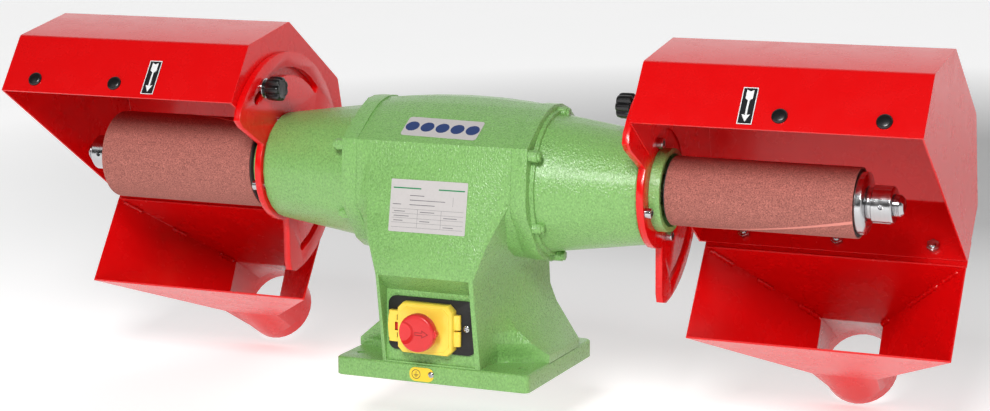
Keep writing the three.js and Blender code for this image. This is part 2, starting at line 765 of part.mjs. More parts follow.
function drumWasher(end) {
  const face = end + flangeRim;
  return lifted(turnedX([[threadRadius + seat, end], [flangeRadius - flangeEdge, end],
    [flangeRadius, end + flangeEdge], [flangeRadius, face - flangeEdge], [flangeRadius - flangeEdge, face],
    [nutRadius, face + flangeSlope], [neckRadius, face + flangeSlope], [neckRadius, nutStart(end)],
    [threadRadius + seat, nutStart(end)], [threadRadius + seat, end]], middleSides));
}

function spindleNut(end) {
  const start = nutStart(end);
  const stop = start + nutLength;
  const nut = turnedX([[threadRadius + seat, start], [nutRadius - nutEdge / 2, start], [nutRadius, start + nutEdge / 2],
    [nutRadius, stop - nutEdge], [nutRadius - nutEdge, stop], [threadRadius + seat, stop],
    [threadRadius + seat, start]], middleSides);
  const bar = turnedFront(rod(nutHole, threadRadius, nutRadius + overrun), 8)
    .translate((start + stop) / 2, 0, 0);
  return lifted(cut(nut, bar));
}

// Hood: bent sheet with two side walls, open at the front; all outlines are [y, z] from the spindle
const hoodOutline = [[-hoodFront, hoodFlapRise], [-hoodFlapY, hoodFlapTop], [hoodRidgeY, hoodTop],
  [hoodShoulderY, hoodShoulder], [hoodBack, -hoodBackDrop], [hoodHeelY, -hoodLow]];
const hoodStart = plateFace + seat;
const hoodEnd = sleeveEnd + hoodBeyond;
const hoodLength = hoodEnd - hoodStart;

function unit([ay, az], [by, bz]) {
  const length = Math.hypot(by - ay, bz - az);
  return [(by - ay) / length, (bz - az) / length];
}

// Open polyline moved sideways to its right by a distance, its two ends drawn out past the opening
function inset(points, distance, stretch) {
  const moved = points.slice(1).map((p, i) => {
    const [uy, uz] = unit(points[i], p);
    const shift = [uz * distance, -uy * distance];
    return [points[i], p].map(([y, z]) => [y + shift[0], z + shift[1]]);
  });
  const [sy, sz] = unit(moved[0][1], moved[0][0]);
  const end = moved[moved.length - 1];
  const [ey, ez] = unit(end[0], end[1]);
  const result = [[moved[0][0][0] + sy * stretch, moved[0][0][1] + sz * stretch]];
  for (let i = 0; i + 1 < moved.length; i++) {
    const [[a, b], [c, d]] = [moved[i], moved[i + 1]];
    const [u, v] = [[b[0] - a[0], b[1] - a[1]], [d[0] - c[0], d[1] - c[1]]];
    const t = ((c[0] - a[0]) * v[1] - (c[1] - a[1]) * v[0]) / (u[0] * v[1] - u[1] * v[0]);
    result.push([a[0] + u[0] * t, a[1] + u[1] * t]);
  }
  result.push([end[1][0] + ey * stretch, end[1][1] + ez * stretch]);
  return result;
}

// A body drawn along +Y, turned to point along [uy, uz] and moved to a place on a panel
function onPanel(geometry, [uy, uz], x, [y, z]) {
  return geometry.rotateX(Math.atan2(uz, uy)).translate(x, y, z);
}

function flapSpots() {
  const [uy, uz] = unit(hoodOutline[0], hoodOutline[1]);
  const spot = [hoodOutline[0][0] + uy * plugUp, hoodOutline[0][1] + uz * plugUp];
  return [0, 1].map((i) => ({ x: hoodStart + (plugNearShare + i * plugPitchShare) * hoodLength, spot, out: [-uz, uy] }));
}

function funnelBoltSpots() {
  const [uy, uz] = unit(hoodOutline[5], hoodOutline[4]);
  const spot = [hoodOutline[5][0] + uy * funnelBoltUp, hoodOutline[5][1] + uz * funnelBoltUp];
  return [-1, 0, 1].map((i) => ({ x: hoodStart + (funnelBoltNearShare + i * funnelBoltPitchShare) * hoodLength,
    spot, out: [uz, -uy] }));
}

function hood() {
  const shell = prismX(hoodOutline, hoodStart, hoodEnd);
  const room = prismX(inset(hoodOutline, sheet, hoodFront), hoodStart + sheet, hoodEnd - sheet);
  const notch = rodX(hoodNotch, hoodStart - overrun, hoodStart + sheet + overrun, roundSides);
  const boltHole = (radius) => turned(rod(radius, -overrun, overrun), smallSides);
  const holes = [
    ...flapSpots().map(({ x, spot, out }) => onPanel(boltHole(plugHole), out, x, spot)),
    ...funnelBoltSpots().map(({ x, spot, out }) => onPanel(boltHole(funnelBoltRadius + seat), out, x, spot)),
    ...[studAngle, guideAngle].map((angle) => rodX(studRadius + seat, hoodStart - overrun,
      hoodStart + sheet + overrun, smallSides).translate(0, ...around(slotCircle, angle))),
  ];
  return lifted(cut(shell, room, notch, ...holes));
}

function hoodPlug({ x, spot, out }) {
  const plug = turned([[0, -sheet - plugRise], [plugHole - seat * 3, -sheet - plugRise], [plugHole - seat * 2, -sheet],
    [plugHole - seat * 2, 0], [plugHead, 0], [plugHead, plugRise / 2], [plugHead - plugRise / 2, plugRise],
    [0, plugRise]], smallSides);
  return lifted(onPanel(plug, out, x, spot));
}

// Funnel: four sloping sheets from a wide mouth to a square throat, then a spout that turns round
function squareRing(centre, halfX, halfU, [uy, uz], count) {
  return Array.from({ length: count }, (_, i) => {
    const side = Math.floor(i / (count / 4));
    const t = (i % (count / 4)) / (count / 4) * 2 - 1;
    const [a, b] = [[t, -1], [1, t], [-t, 1], [-1, -t]][side];
    return new THREE.Vector3(centre[0] + a * halfX, centre[1] + b * halfU * uy, centre[2] + b * halfU * uz);
  });
}

function roundRing(centre, radius, [uy, uz], count) {
  return Array.from({ length: count }, (_, i) => {
    const t = -Math.PI * 0.75 + i / count * Math.PI * 2;
    const [a, b] = [radius * Math.cos(t), radius * Math.sin(t)];
    return new THREE.Vector3(centre[0] + a, centre[1] + b * uy, centre[2] + b * uz);
  });
}

const spoutWay = [Math.cos(spoutLean * degree), -Math.sin(spoutLean * degree)];
const spoutUp = [-spoutWay[1], spoutWay[0]];

function funnelBody(wall, stretch) {
  const count = 16;
  const [wideStart, wideEnd] = [hoodStart + funnelStart, hoodEnd];
  const middle = (wideStart + wideEnd) / 2;
  const [ty, tz] = funnelTop;
  const up = unit([funnelFrontY, -funnelFrontDrop], [ty, tz]);
  const half = Math.hypot(ty - funnelFrontY, tz + funnelFrontDrop) / 2;
  const mouth = [middle, (ty + funnelFrontY) / 2, (tz - funnelFrontDrop) / 2];
  const throatUp = unit([throatFrontY, -throatFrontDrop], [throatRearY, -throatRearDrop]);
  const throatSize = Math.hypot(throatRearY - throatFrontY, throatFrontDrop - throatRearDrop) / 2;
  const throat = [middle, (throatRearY + throatFrontY) / 2, -(throatRearDrop + throatFrontDrop) / 2];
  const way = unit([mouth[1], mouth[2]], [throat[1], throat[2]]);
  const depth = Math.hypot(throat[1] - mouth[1], throat[2] - mouth[2]);
  const slopeX = ((wideEnd - wideStart) / 2 - throatHalf) / depth;
  const slopeU = (half - throatSize) / depth;
  const wider = wall > 0 ? stretch : 0;
  const out = [mouth[0], mouth[1] - way[0] * wider, mouth[2] - way[1] * wider];
  const pipeStart = [middle, spoutY, -spoutDrop];
  const length = spoutStraight + wider;
  const pipeEnd = [middle, spoutY + spoutWay[0] * length, -spoutDrop + spoutWay[1] * length];
  const side = wall * 1.28;
  return loft([
    squareRing(out, (wideEnd - wideStart) / 2 - side + wider * slopeX, half - wall + wider * slopeU, up, count),
    squareRing(throat, throatHalf - side, throatSize - wall, throatUp, count),
    roundRing(pipeStart, spoutRadius - wall, spoutUp, count),
    roundRing(pipeEnd, spoutRadius - wall, spoutUp, count),
  ]);
}

const funnelTop = (() => {
  const [uy, uz] = unit(hoodOutline[5], hoodOutline[4]);
  return [hoodOutline[5][0] - uy * funnelBelow, hoodOutline[5][1] - uz * funnelBelow];
})();

function hopper() {
  const [uy, uz] = unit(hoodOutline[5], hoodOutline[4]);
  const [ny, nz] = [uz, -uy];
  const corner = (along, out) => [hoodOutline[5][0] + uy * along + ny * out, hoodOutline[5][1] + uz * along + nz * out];
  const foot = -funnelBelow - sheet * 1.2;
  const lip = prismX([corner(foot, seat), corner(funnelLip, seat), corner(funnelLip, seat + sheet),
    corner(foot, seat + sheet)], hoodStart + funnelStart, hoodEnd);
  const holes = funnelBoltSpots().map(({ x, spot, out }) =>
    onPanel(turned(rod(funnelBoltRadius + seat, -overrun, overrun * 2), smallSides), out, x, spot));
  return lifted(cut(join(cut(funnelBody(0, 0), funnelBody(sheet, overrun * 2)), lip), ...holes));
}

function hopperBolt({ x, spot, out }) {
  const shank = turned(rod(funnelBoltRadius, -sheet - funnelNutHeight - boltEnd, sheet + seat * 2), smallSides);
  const head = turned([[0, sheet + seat], [boltHeadRadius, sheet + seat], [boltHeadRadius * 0.8, sheet + seat + boltEnd],
    [0, sheet + seat + boltEnd]], smallSides);
  const nut = turned(rod(nutAcross / Math.sqrt(3), -sheet - funnelNutHeight, -sheet), 6);
  return lifted(onPanel(join(shank, head, nut), out, x, spot));
}

// Clamping stud with its washer and nut, the fluted knob, and the second guide bolt
function clampStud() {
  const [y, z] = around(slotCircle, studAngle);
  const start = noseFace - washerThickness;
  const wall = hoodStart + sheet;
  const stud = rodX(studRadius, start - studInKnob, wall + nutHeight + boltEnd);
  const washer = turnedX(rod(washerRadius, start, noseFace), smallSides);
  return lifted(join(stud, washer, hexX(nutAcross, wall, wall + nutHeight)).translate(0, y, z));
}

function clampKnob() {
  const [y, z] = around(slotCircle, studAngle);
  const end = noseFace - washerThickness;
  const count = knobFlutes * 3;
  const ring = (x, share) => Array.from({ length: count }, (_, i) => {
    const r = share * (knobRadius - fluteDepth * (i % 3 === 0 ? 1 : 0));
    const t = i / count * Math.PI * 2;
    return new THREE.Vector3(x, r * Math.cos(t), r * Math.sin(t));
  });
  const body = loft([ring(end - knobLength, 0.84), ring(end - knobLength * 0.92, 0.97), ring(end - knobLength * 0.8, 1),
    ring(end - knobLength * 0.15, 1), ring(end, 0.92)]);
  const bore = rodX(studRadius + seat, end - studInKnob - seat, end + overrun, smallSides);
  return lifted(cut(body, bore).translate(0, y, z));
}

function guideBolt() {
  const [y, z] = around(slotCircle, guideAngle);
  const wall = hoodStart + sheet;
  const shank = rodX(studRadius, noseFace - overrun / 2, wall + nutHeight + boltEnd);
  const washer = turnedX(rod(washerRadius, noseFace - sheet, noseFace), smallSides);
  return lifted(join(shank, washer, hexX(nutAcross, noseFace - sheet - nutHeight, noseFace - sheet),
    hexX(nutAcross, wall, wall + nutHeight)).translate(0, y, z));
}

// Switch on the front panel: gasket, box with two keys, hinged lid with latch and stop mushroom
const panelY = -recessPanelReach;
const gasketFace = panelY - gasketThickness;
const boxFace = gasketFace - boxDepth;
const lidFace = gasketFace - lidDepth;
const lidHalfX = boxHalfX + lidWall * 2;

const oneStep = 0.5;         // corners cut straight across
function roundedBox(halfX, halfZ, from, to, corner, steps = 3, chamfer = 0) {
  const ring = (y, less) => roundedPlate(halfZ - less, halfZ - less, halfX - less, Math.max(corner - less, corner / 3))
    .getPoints(steps).slice(0, -1).map((p) => new THREE.Vector3(p.x, y, p.y));
  return loft(chamfer ? [ring(from, 0), ring(to + chamfer, 0), ring(to, chamfer / 2)] : [ring(from, 0), ring(to, 0)]);
}

function onGasket(geometry) {
  return geometry.translate(gasketOffset, 0, gasketHeight);
}

function onSwitch(geometry) {
  return geometry.translate(lidOffset, 0, lidHeight);
}

function switchGasket() {
  const screw = turnedFront(rod(gasketScrewShank, -panelY - overrun, -gasketFace + overrun), 8)
    .translate(gasketScrewX, 0, 0);
  return onGasket(cut(roundedBox(gasketHalfX, gasketHalfZ, panelY, gasketFace, gasketCorner), screw));
}

function gasketScrew() {
  const head = -gasketFace;
  return onGasket(turnedFront([[0, head - gasketThickness], [gasketScrewShank - seat, head - gasketThickness],
    [gasketScrewShank - seat, head], [gasketScrewHead, head], [gasketScrewHead, head + gasketScrewRise / 2],
    [gasketScrewHead * 0.7, head + gasketScrewRise], [0, head + gasketScrewRise]], smallSides)
    .translate(gasketScrewX, 0, 0));
}

function buttonHole(side) {
  return blockBetween([side * buttonOffset - buttonHalfX - seat, boxFace - overrun, -buttonHalfZ - seat],
    [side * buttonOffset + buttonHalfX + seat, gasketFace - seat, buttonHalfZ + seat]);
}

function switchBox() {
  const body = roundedBox(boxHalfX, boxHalfZ - lidWall * 2, gasketFace, boxFace, lidCorner, oneStep);
  return onSwitch(cut(body, buttonHole(-1), buttonHole(1)));
}

function button(side) {
  return onSwitch(blockBetween([side * buttonOffset - buttonHalfX, boxFace - buttonRise, -buttonHalfZ],
    [side * buttonOffset + buttonHalfX, gasketFace - seat - buttonTravel, buttonHalfZ]));
}

// Lid: a shallow cap with cut corners and a raised middle, two hinge lugs and a latch clip
function switchLid() {
  const shell = roundedBox(lidHalfX, boxHalfZ, gasketFace - seat, lidFace + lidRaise, lidCorner, oneStep, lidEdge);
  const middle = roundedBox(lidHalfX - lidMiddle, boxHalfZ - lidMiddle, lidFace + lidDepth / 2, lidFace, lidCorner,
    oneStep, lidRaise);
  const room = roundedBox(lidHalfX - lidWall + seat, boxHalfZ - lidWall + seat, gasketFace + overrun,
    lidFace + lidRaise + lidWall, lidCorner, oneStep);
  const back = gasketFace - seat;
  const axis = lidHalfX + lugReach - lugThickness / 2;
  const lugs = [-1, 1].flatMap((side) => {
    const [low, high] = [-1, 1].map((end) => side * lugMiddle + end * lugHalf);
    return [
      blockBetween([lidHalfX - lidWall / 2, back - lugThickness, low], [axis, back, high]),
      turnedZ(rod(lugThickness / 2, low, high)).translate(axis, back - lugThickness / 2, 0),
    ];
  });
  const stem = turnedFront(rod(plungerRadius + seat, -lidFace - lidWall * 2 - overrun, -lidFace + overrun), smallSides);
  const inner = lidWall / 2 - lidHalfX;
  const latch = [
    blockBetween([-lidHalfX - latchReach, back - latchDepth, -latchHalf],
      [-lidHalfX - latchReach + latchBar, back, latchHalf]),
    ...[latchBar - latchHalf, latchHalf].map((top) => blockBetween(
      [-lidHalfX - latchReach + latchBar / 2, back - latchDepth, top - latchBar],
      [inner, back, top])),
  ];
  return onSwitch(cut(join(cut(join(shell, middle), room), ...lugs, ...latch), stem));
}

function latchTab() {
  const inner = -lidHalfX - seat;
  return onSwitch(blockBetween([inner - latchReach + latchBar + seat * 2, gasketFace - seat - tabDepth, -tabHalf],
    [inner, gasketFace - seat, tabHalf]));
}

// Stop mushroom: wide head on a collar, with a thumb hollow on its left and a point on its right
function stopMushroom() {
  const neckEnd = -lidFace + mushroomTravel + seat;
  const face = neckEnd + mushroomHeight;
  const rim = neckEnd + mushroomNeck + mushroomFlare;
  const head = turnedFront([[0, -lidFace - lidWall], [plungerRadius, -lidFace - lidWall], [plungerRadius, neckEnd],
    [mushroomCollar, neckEnd], [mushroomCollar, neckEnd + mushroomNeck], [mushroomRadius, rim],
    [mushroomRadius, rim + mushroomRim], [mushroomRadius * (1 + mushroomFace) / 2, face - mushroomRim / 4],
    [mushroomRadius * mushroomFace, face], [0, face]], roundSides);
  const root = mushroomRadius - pointReach * 1.5;
  const point = pushed(outline([[root, -pointHalf], [mushroomRadius + pointReach, 0], [root, pointHalf]]),
    mushroomRim, alongFront).translate(0, -rim, 0);
  const scoop = turnedFront(rod(scoopRadius, face - scoopDepth, face + overrun), smallSides).translate(-scoopOut, 0, 0);
  return onSwitch(cut(join(head, point), scoop));
}

// Small pieces of the base
function earthScrew() {
  const head = baseFront;
  return turnedFront([[0, head], [earthHead, head], [earthHead, head + earthRise / 2],
    [earthHead * 0.7, head + earthRise], [0, head + earthRise]], smallSides).translate(earthX, 0, earthHeight);
}

function cableGland() {
  const face = glandWall;
  const profile = [[glandBore, cavityTopBack], [glandRadius * 0.55, cavityTopBack], [glandRadius * 0.55, face],
    [glandRadius, face], [glandRadius, face + glandReach * 0.4], [glandRadius * 0.8, face + glandReach * 0.5],
    [glandRadius * 0.8, face + glandReach], [glandBore, face + glandReach], [glandBore, cavityTopBack]];
  return turned(profile, smallSides).translate(0, 0, glandHeight);
}

function terminalBlock() {
  return blockBetween([-terminalHalfX, -terminalHalfY, coverThickness],
    [terminalHalfX, terminalHalfY, coverThickness + terminalHeight]);
}

// The machine
const machine = new THREE.Group();

function place(name, geometry, material, parent = machine) {
  const mesh = new THREE.Mesh(geometry, material);
  mesh.name = name;
  parent.add(mesh);
}

function tilted(geometry) {
  return geometry.translate(0, 0, -axisHeight).rotateX(leftHoodTilt * degree).translate(0, 0, axisHeight);
}

// The same piece on both sides; pieces that ride on the left hood stand a little turned
function pair(name, build, material, onHood = false) {
  place(`${name}_right`, build(), material);
  const left = mirrored(build());
  place(`${name}_left`, onHood ? tilted(left) : left, material);
}

place('motor_housing', motorHousing(), green);
place('bottom_cover', bottomCover(), darkSteel);
pair('end_bell', endBell, green);
place('spindle_shaft', spindleShaft(), steel);
place('rotor_core', rotorCore(), darkSteel);
place('stator_core', statorCore(), copper);
pair('bearing', bearing, steel);
pair('swivel_plate', swivelPlate, red);
plateScrewSpots().forEach((spot, i) => pair(`plate_screw_${i + 1}`, () => plateScrew(spot), steel));
pair('hood', hood, red, true);
pair('hopper', hopper, red, true);
funnelBoltSpots().forEach((spot, i) => pair(`hopper_bolt_${i + 1}`, () => hopperBolt(spot), steel, true));
flapSpots().forEach((spot, i) => pair(`hood_plug_${i + 1}`, () => hoodPlug(spot), black, true));
pair('clamp_stud', clampStud, steel, true);
pair('clamp_knob', clampKnob, black, true);
pair('guide_bolt', guideBolt, steel, true);
place('drum_right', drum(rightSleeveRadius, sleeveStart, sleeveEnd), rubber);
place('drum_left', mirrored(drum(leftSleeveRadius, sleeveStart, leftSleeveEnd)), rubber);
place('abrasive_sleeve_right', sleeve(rightSleeveRadius, sleeveStart, sleeveEnd), grit);
place('abrasive_sleeve_left', mirrored(sleeve(leftSleeveRadius, sleeveStart, leftSleeveEnd)), grit);
place('drum_washer_right', drumWasher(sleeveEnd), steel);
place('drum_washer_left', mirrored(drumWasher(leftSleeveEnd)), steel);
place('spindle_nut_right', spindleNut(sleeveEnd), steel);
place('spindle_nut_left', mirrored(spindleNut(leftSleeveEnd)), steel);
place('switch_gasket', switchGasket(), rubber);
place('gasket_screw', gasketScrew(), steel);
place('switch_box', switchBox(), black);
place('switch_lid', switchLid(), yellow);
place('latch_tab', latchTab(), stopRed);
place('stop_mushroom', stopMushroom(), stopRed);
place('start_button', button(-1), startGreen);
place('stop_button', button(1), stopRed);
place('earth_screw', earthScrew(), steel);
place('cable_gland', cableGland(), black);
place('terminal_block', terminalBlock(), black);
export default machine;
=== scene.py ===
import json
import math

import bmesh
import bpy
from bpy.props import FloatProperty, FloatVectorProperty
from mathutils import Matrix, Vector


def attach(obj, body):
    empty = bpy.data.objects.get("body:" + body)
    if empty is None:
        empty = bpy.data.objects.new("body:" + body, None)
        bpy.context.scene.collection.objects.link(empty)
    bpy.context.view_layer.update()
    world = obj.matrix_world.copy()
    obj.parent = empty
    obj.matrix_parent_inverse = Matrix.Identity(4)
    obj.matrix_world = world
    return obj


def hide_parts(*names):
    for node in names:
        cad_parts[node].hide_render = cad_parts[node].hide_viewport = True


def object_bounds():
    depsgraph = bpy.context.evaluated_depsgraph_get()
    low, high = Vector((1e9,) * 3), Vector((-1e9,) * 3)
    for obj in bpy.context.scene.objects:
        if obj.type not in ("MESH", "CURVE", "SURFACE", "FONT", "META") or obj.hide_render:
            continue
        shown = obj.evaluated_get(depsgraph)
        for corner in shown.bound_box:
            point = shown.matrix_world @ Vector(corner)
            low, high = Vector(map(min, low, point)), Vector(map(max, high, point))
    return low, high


bl_info = {
    "name": "Drum polishing machine",
    "version": (1, 0, 0),
    "blender": (4, 5, 0),
    "location": "3D View > Sidebar > Polisher",
    "description": "Finishes, labels, welds and small fittings of a double-ended drum polishing machine",
    "category": "Object",
}

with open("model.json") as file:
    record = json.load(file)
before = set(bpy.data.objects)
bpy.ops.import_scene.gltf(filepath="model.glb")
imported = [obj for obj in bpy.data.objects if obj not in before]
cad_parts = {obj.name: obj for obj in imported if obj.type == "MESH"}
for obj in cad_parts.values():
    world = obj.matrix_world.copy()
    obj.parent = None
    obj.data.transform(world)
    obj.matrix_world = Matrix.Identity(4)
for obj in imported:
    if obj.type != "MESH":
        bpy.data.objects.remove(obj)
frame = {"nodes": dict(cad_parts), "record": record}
CAD_BOX = [list(corner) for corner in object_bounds()]
NODES = frame["nodes"]
NODE_SLOTS = {entry["node"]: entry["material_slot"] for entry in frame["record"]["subparts"]}
MATERIALS = {}                  # filled by the finishes, read by all that comes after them

AXIS_HEIGHT = 0.2165
SIDES = (("right", 1), ("left", -1))
LEFT_TILT = math.radians(1.41)
ALONG = (0.0, math.pi / 2, 0.0)     # turns a bar to lie along the machine
ACROSS = (math.pi / 2, 0.0, 0.0)    # turns a bar to lie from front to rear
SMALL_EDGE_SHARE = 0.35         # of the castings' edge rounding, for sheet, screws and plastic

# Tolerances for merging points and for finding edges and faces by their place
MERGE = 0.00001
NEAR = 0.0001
ON_PLANE = 0.00002
FACING = 0.999

# Stage: floor, lamps as (name, place, size, power), and the camera at the photograph's angle
FLOOR_SIZE = 14.0
FLOOR_PLACE = (0.0, 2.0)
FLOOR_GAP = 0.002
FLOOR_COLOUR = (0.76, 0.76, 0.76)
FLOOR_PATCHES = (0.80, 0.80, 0.80)
GLOW_FROM = 0.55
GLOW_FULL = 2.0
GLOW = 0.55
LAMPS = (("key", (0.6, -2.6, 1.8), 0.8, 76.0), ("fill", (-1.8, -2.6, 1.9), 1.4, 6.0))
LAMP_TARGET = (0.0, 0.0, 0.2)
WHITE_SIDE = (0.12, 1.0, -0.35)     # where the surroundings are brightest
CAMERA_PLACE = (1.0068, -2.2866, 0.3941 + AXIS_HEIGHT)
CAMERA_BACK = (0.3910, -0.9036, 0.1749)
CAMERA_RIGHT = (0.9178, 0.3971, 0.0)
CAMERA_SHIFT = (0.01578, 0.01473)
SENSOR = 36.0

# Hood outline across the spindle as (y, z), from the flap's lower edge over the top to the heel
HOOD_OUTLINE = ((-0.1110, 0.3030), (-0.0684, 0.3622), (0.0284, 0.3786),
                (0.1487, 0.2971), (0.1755, 0.1928), (0.1308, 0.1372))
HOOD_SPAN = (0.2324, 0.5366)
HOOD_NOTCH = 0.066
BLANK_CENTRE = (0.03, 0.25)     # block that the hood is cut from, larger than its outline
BLANK_SIZE = 0.6
SHEET = 0.002
PLUG_UP = 0.0162                # along the flap from its lower edge
PLUG_NEAR_SHARE = 0.5145
PLUG_PITCH_SHARE = 0.3501
PLUG_PROFILE = ((-0.0054, 0.0), (-0.0054, 0.0061), (-0.0020, 0.0064), (0.0, 0.0064), (0.0, 0.0084),
                (0.0012, 0.0084), (0.0026, 0.0076), (0.0034, 0.0058), (0.0034, 0.0))

# Funnel as (y, z) points across the machine
FUNNEL_START = 0.2403
FUNNEL_WIDTH = HOOD_SPAN[1] - FUNNEL_START
FUNNEL_MIDDLE = (FUNNEL_START + HOOD_SPAN[1]) / 2
FUNNEL_REAR = (0.12817, 0.13393)
FUNNEL_FRONT = (0.0627, 0.0401)
FUNNEL_CREASE = 14.0            # degrees past which a panel's edge is a fold
THROAT_REAR = (0.2268, 0.0405)
THROAT_FRONT = (0.1953, -0.0198)
THROAT_WIDTH = 0.0762
SPOUT_POINTS = 32
THROAT_CUTS = SPOUT_POINTS // 4 - 1     # on each side of the square, so that it meets the spout's points
SPOUT_CENTRE = (0.2596, -0.0186)
SPOUT_RADIUS = 0.044
SPOUT_LENGTH = 0.018
SPOUT_LEAN = math.radians(31.0)
STRIP_FOOT = -0.0066            # along the hood's lower back panel from its heel
STRIP_TOP = 0.026
STRIP_GAP = 0.0003
STRIP_EDGE = 0.0003
WELD_INSET = 1.7 * SHEET
WELD_RUNS = {                   # shares of the seam at the hood's inner end, then at its outer end
    "right": (((0.02, 0.23), (0.43, 0.57), (0.79, 0.98)), ((0.06, 0.24), (0.30, 0.655), (0.90, 1.0))),
    "left": (((0.05, 0.22), (0.48, 0.60), (0.84, 0.97)), ((0.03, 0.19), (0.44, 0.57), (0.85, 0.97))),
}
BEAD_PITCH = 0.0042
BEAD_CREST = 0.0034
BEAD_DIP = 0.0018
BEAD_TIP = 0.0006
BEAD_SWELL = 0.0006

# Spindle ends
DRUM_START = 0.245
DRUM_END = {"right": 0.4485, "left": 0.4420}
DRUM_BORE = 0.0163
DRUM_HUB = 0.025
DRUM_DISH = 0.006               # how far the end of the drum is dished between hub and rim
SLEEVE_RADIUS = {"right": 0.0375, "left": 0.0508}
SLEEVE_WALL = 0.0015
SLEEVE_FIT = 0.00002
SLEEVE_BACK = 0.0015            # the sleeve starts this far out on the drum
SLEEVE_OVER = 0.001             # and stands this far past its outer end
SPINDLE_BORE = 0.0113
FLANGE_REACH = 0.0148
FLANGE_PROFILE = (
    (0.0, SPINDLE_BORE), (0.0, 0.0324), (0.0006, 0.033), (0.0079, 0.033), (0.0085, 0.0324), (0.0110, 0.0202),
    (0.0110, 0.0170), (FLANGE_REACH, 0.0170), (FLANGE_REACH, SPINDLE_BORE), (0.0, SPINDLE_BORE))
NUT_LENGTH = 0.0221
NUT_PROFILE = (
    (0.0, SPINDLE_BORE), (0.0, 0.0192), (0.0008, 0.0200), (NUT_LENGTH - 0.0016, 0.0200), (NUT_LENGTH, 0.0184),
    (NUT_LENGTH, SPINDLE_BORE), (0.0, SPINDLE_BORE))
PIN_HOLE_RADIUS = 0.0026        # blind hole for a pin spanner in the front of each nut
PIN_HOLE_FRONT = 0.021
PIN_HOLE_LENGTH = 0.02
THREAD_START = 0.0002
THREAD_PITCH = 0.0017
THREAD_LENGTH = 0.0068
THREAD_CREST = 0.0118
THREAD_ROOT = 0.0109
THREAD_CORE = 0.0108
JOINT_FROM = {"right": -91.0, "left": 60.0}   # where the cloth's joint starts, degrees from straight ahead
JOINT_TURN = 67.0
JOINT_STEPS = 40
JOINT_INSET = 0.0016            # from the drum's inner end
JOINT_OVER = 0.0009             # past its outer end
JOINT_HALF = 0.0005
JOINT_WIDENS = 0.0014
JOINT_SLOPE = 0.0002
JOINT_LIFT = 0.00025
JOINT_SINK = 0.00005
JOINT_FILM = 0.0001

# Swivel plates, their screws, and the knobs and washers on them
PLATE_FACE = 0.2321
PLATE_SCREWS = 4
PLATE_SCREW_CIRCLE = 0.0555
PLATE_SCREW_TURN = 72.0
CAP_HEIGHT = 0.0070
CAP_PROFILE = ((-0.016, 0.0), (-0.016, 0.0038), (0.0, 0.0038), (0.0, 0.0060), (0.0063, 0.0060),
               (CAP_HEIGHT, 0.0053), (CAP_HEIGHT, 0.0))
CAP_SOCKET = 0.00346
CROSS_SCREWS = (                # node, place of its seat, radius and rise of the head
    ("gasket_screw", (0.0437, -0.0950, 0.0655), 0.0042, 0.0022),
    ("earth_screw", (0.0010, -0.0950, 0.01025), 0.0036, 0.0020))
CROSS_TURN = 0.3
NOSE_FACE = 0.2243              # face of the swivel plate on the machine's side
WASHER_RADIUS = 0.0113
WASHER_BORE = 0.0045
WASHER_EDGE = 0.0004
WASHER_GAP = 0.0001
KNOB_WASHER = 0.0032
KNOB_LOBES = 7
KNOB_STEPS = 14                 # points round the knob in one lobe
KNOB_GROOVE = 0.17              # half width of a groove, as a turn
KNOB_RINGS = (                  # along the knob from its washer, radius of the lobes, depth of the grooves
    (0.0, 0.0084, 0.0), (0.0042, 0.0084, 0.0), (0.0046, 0.0126, 0.0020), (0.0058, 0.0138, 0.0028),
    (0.0120, 0.0140, 0.0030), (0.0180, 0.0138, 0.0028), (0.0202, 0.0132, 0.0024), (0.0213, 0.0120, 0.0018),
    (0.0215, 0.0106, 0.0010), (0.0207, 0.0090, 0.0))

# Stop mushroom and the front of the lid's latch, drawn as (along, radius) and (x, z) from the mushroom's foot
MUSHROOM_FOOT = (-0.0016, -0.1118, 0.0632)
MUSHROOM_RADIUS = 0.0211
MUSHROOM_HEIGHT = 0.0180
MUSHROOM_PROFILE = (
    (-0.0063, 0.0), (-0.0063, 0.003), (0.0, 0.003), (0.0, 0.0116), (0.0004, 0.0120), (0.0046, 0.0120),
    (0.0062, 0.0134), (0.0076, MUSHROOM_RADIUS - 0.0016), (0.0084, MUSHROOM_RADIUS),
    (0.0138, MUSHROOM_RADIUS), (0.0156, MUSHROOM_RADIUS * 0.985), (0.0169, MUSHROOM_RADIUS * 0.95),
    (0.0177, MUSHROOM_RADIUS * 0.90), (MUSHROOM_HEIGHT, MUSHROOM_RADIUS * 0.83), (MUSHROOM_HEIGHT, 0.0))
LUG_OUTLINE = (
    (MUSHROOM_RADIUS - 0.0040, -0.0062), (MUSHROOM_RADIUS + 0.0010, -0.0036), (MUSHROOM_RADIUS + 0.0024, 0.0),
    (MUSHROOM_RADIUS + 0.0010, 0.0036), (MUSHROOM_RADIUS - 0.0040, 0.0062))
LUG_FOOT = 0.0083
LUG_HEIGHT = 0.0064
HOLLOW_LEAN = 0.2
HOLLOW_DEPTH = 0.0034
HOLLOW_HALF = 0.007             # half the height of the cone that cuts the thumb hollow
HOLLOW_RADII = (0.0098, 0.0208)
HOLLOW_X = -0.0175
PRESS_ARROW = ((-0.0006, -0.0014), (0.0076, -0.0014), (0.0076, -0.0037), (0.0142, 0.0), (0.0076, 0.0037),
               (0.0076, 0.0014), (-0.0006, 0.0014))
PRESS_ARROW_LINE = 0.0004       # half the width of its line
PRESS_ARROW_RISE = 0.0003
PRESS_ARROW_SINK = 0.00005
CLIP_EDGE = -0.0330
CLIP_TIP = -0.0450
CLIP_HALF = 0.0172
CLIP_SIDE = (
    (CLIP_TIP + 0.0034, CLIP_HALF), (CLIP_TIP + 0.0014, CLIP_HALF - 0.0016),
    (CLIP_TIP + 0.0002, CLIP_HALF - 0.0060), (CLIP_TIP - 0.0006, 0.0))
CLIP_GAP = 0.0046
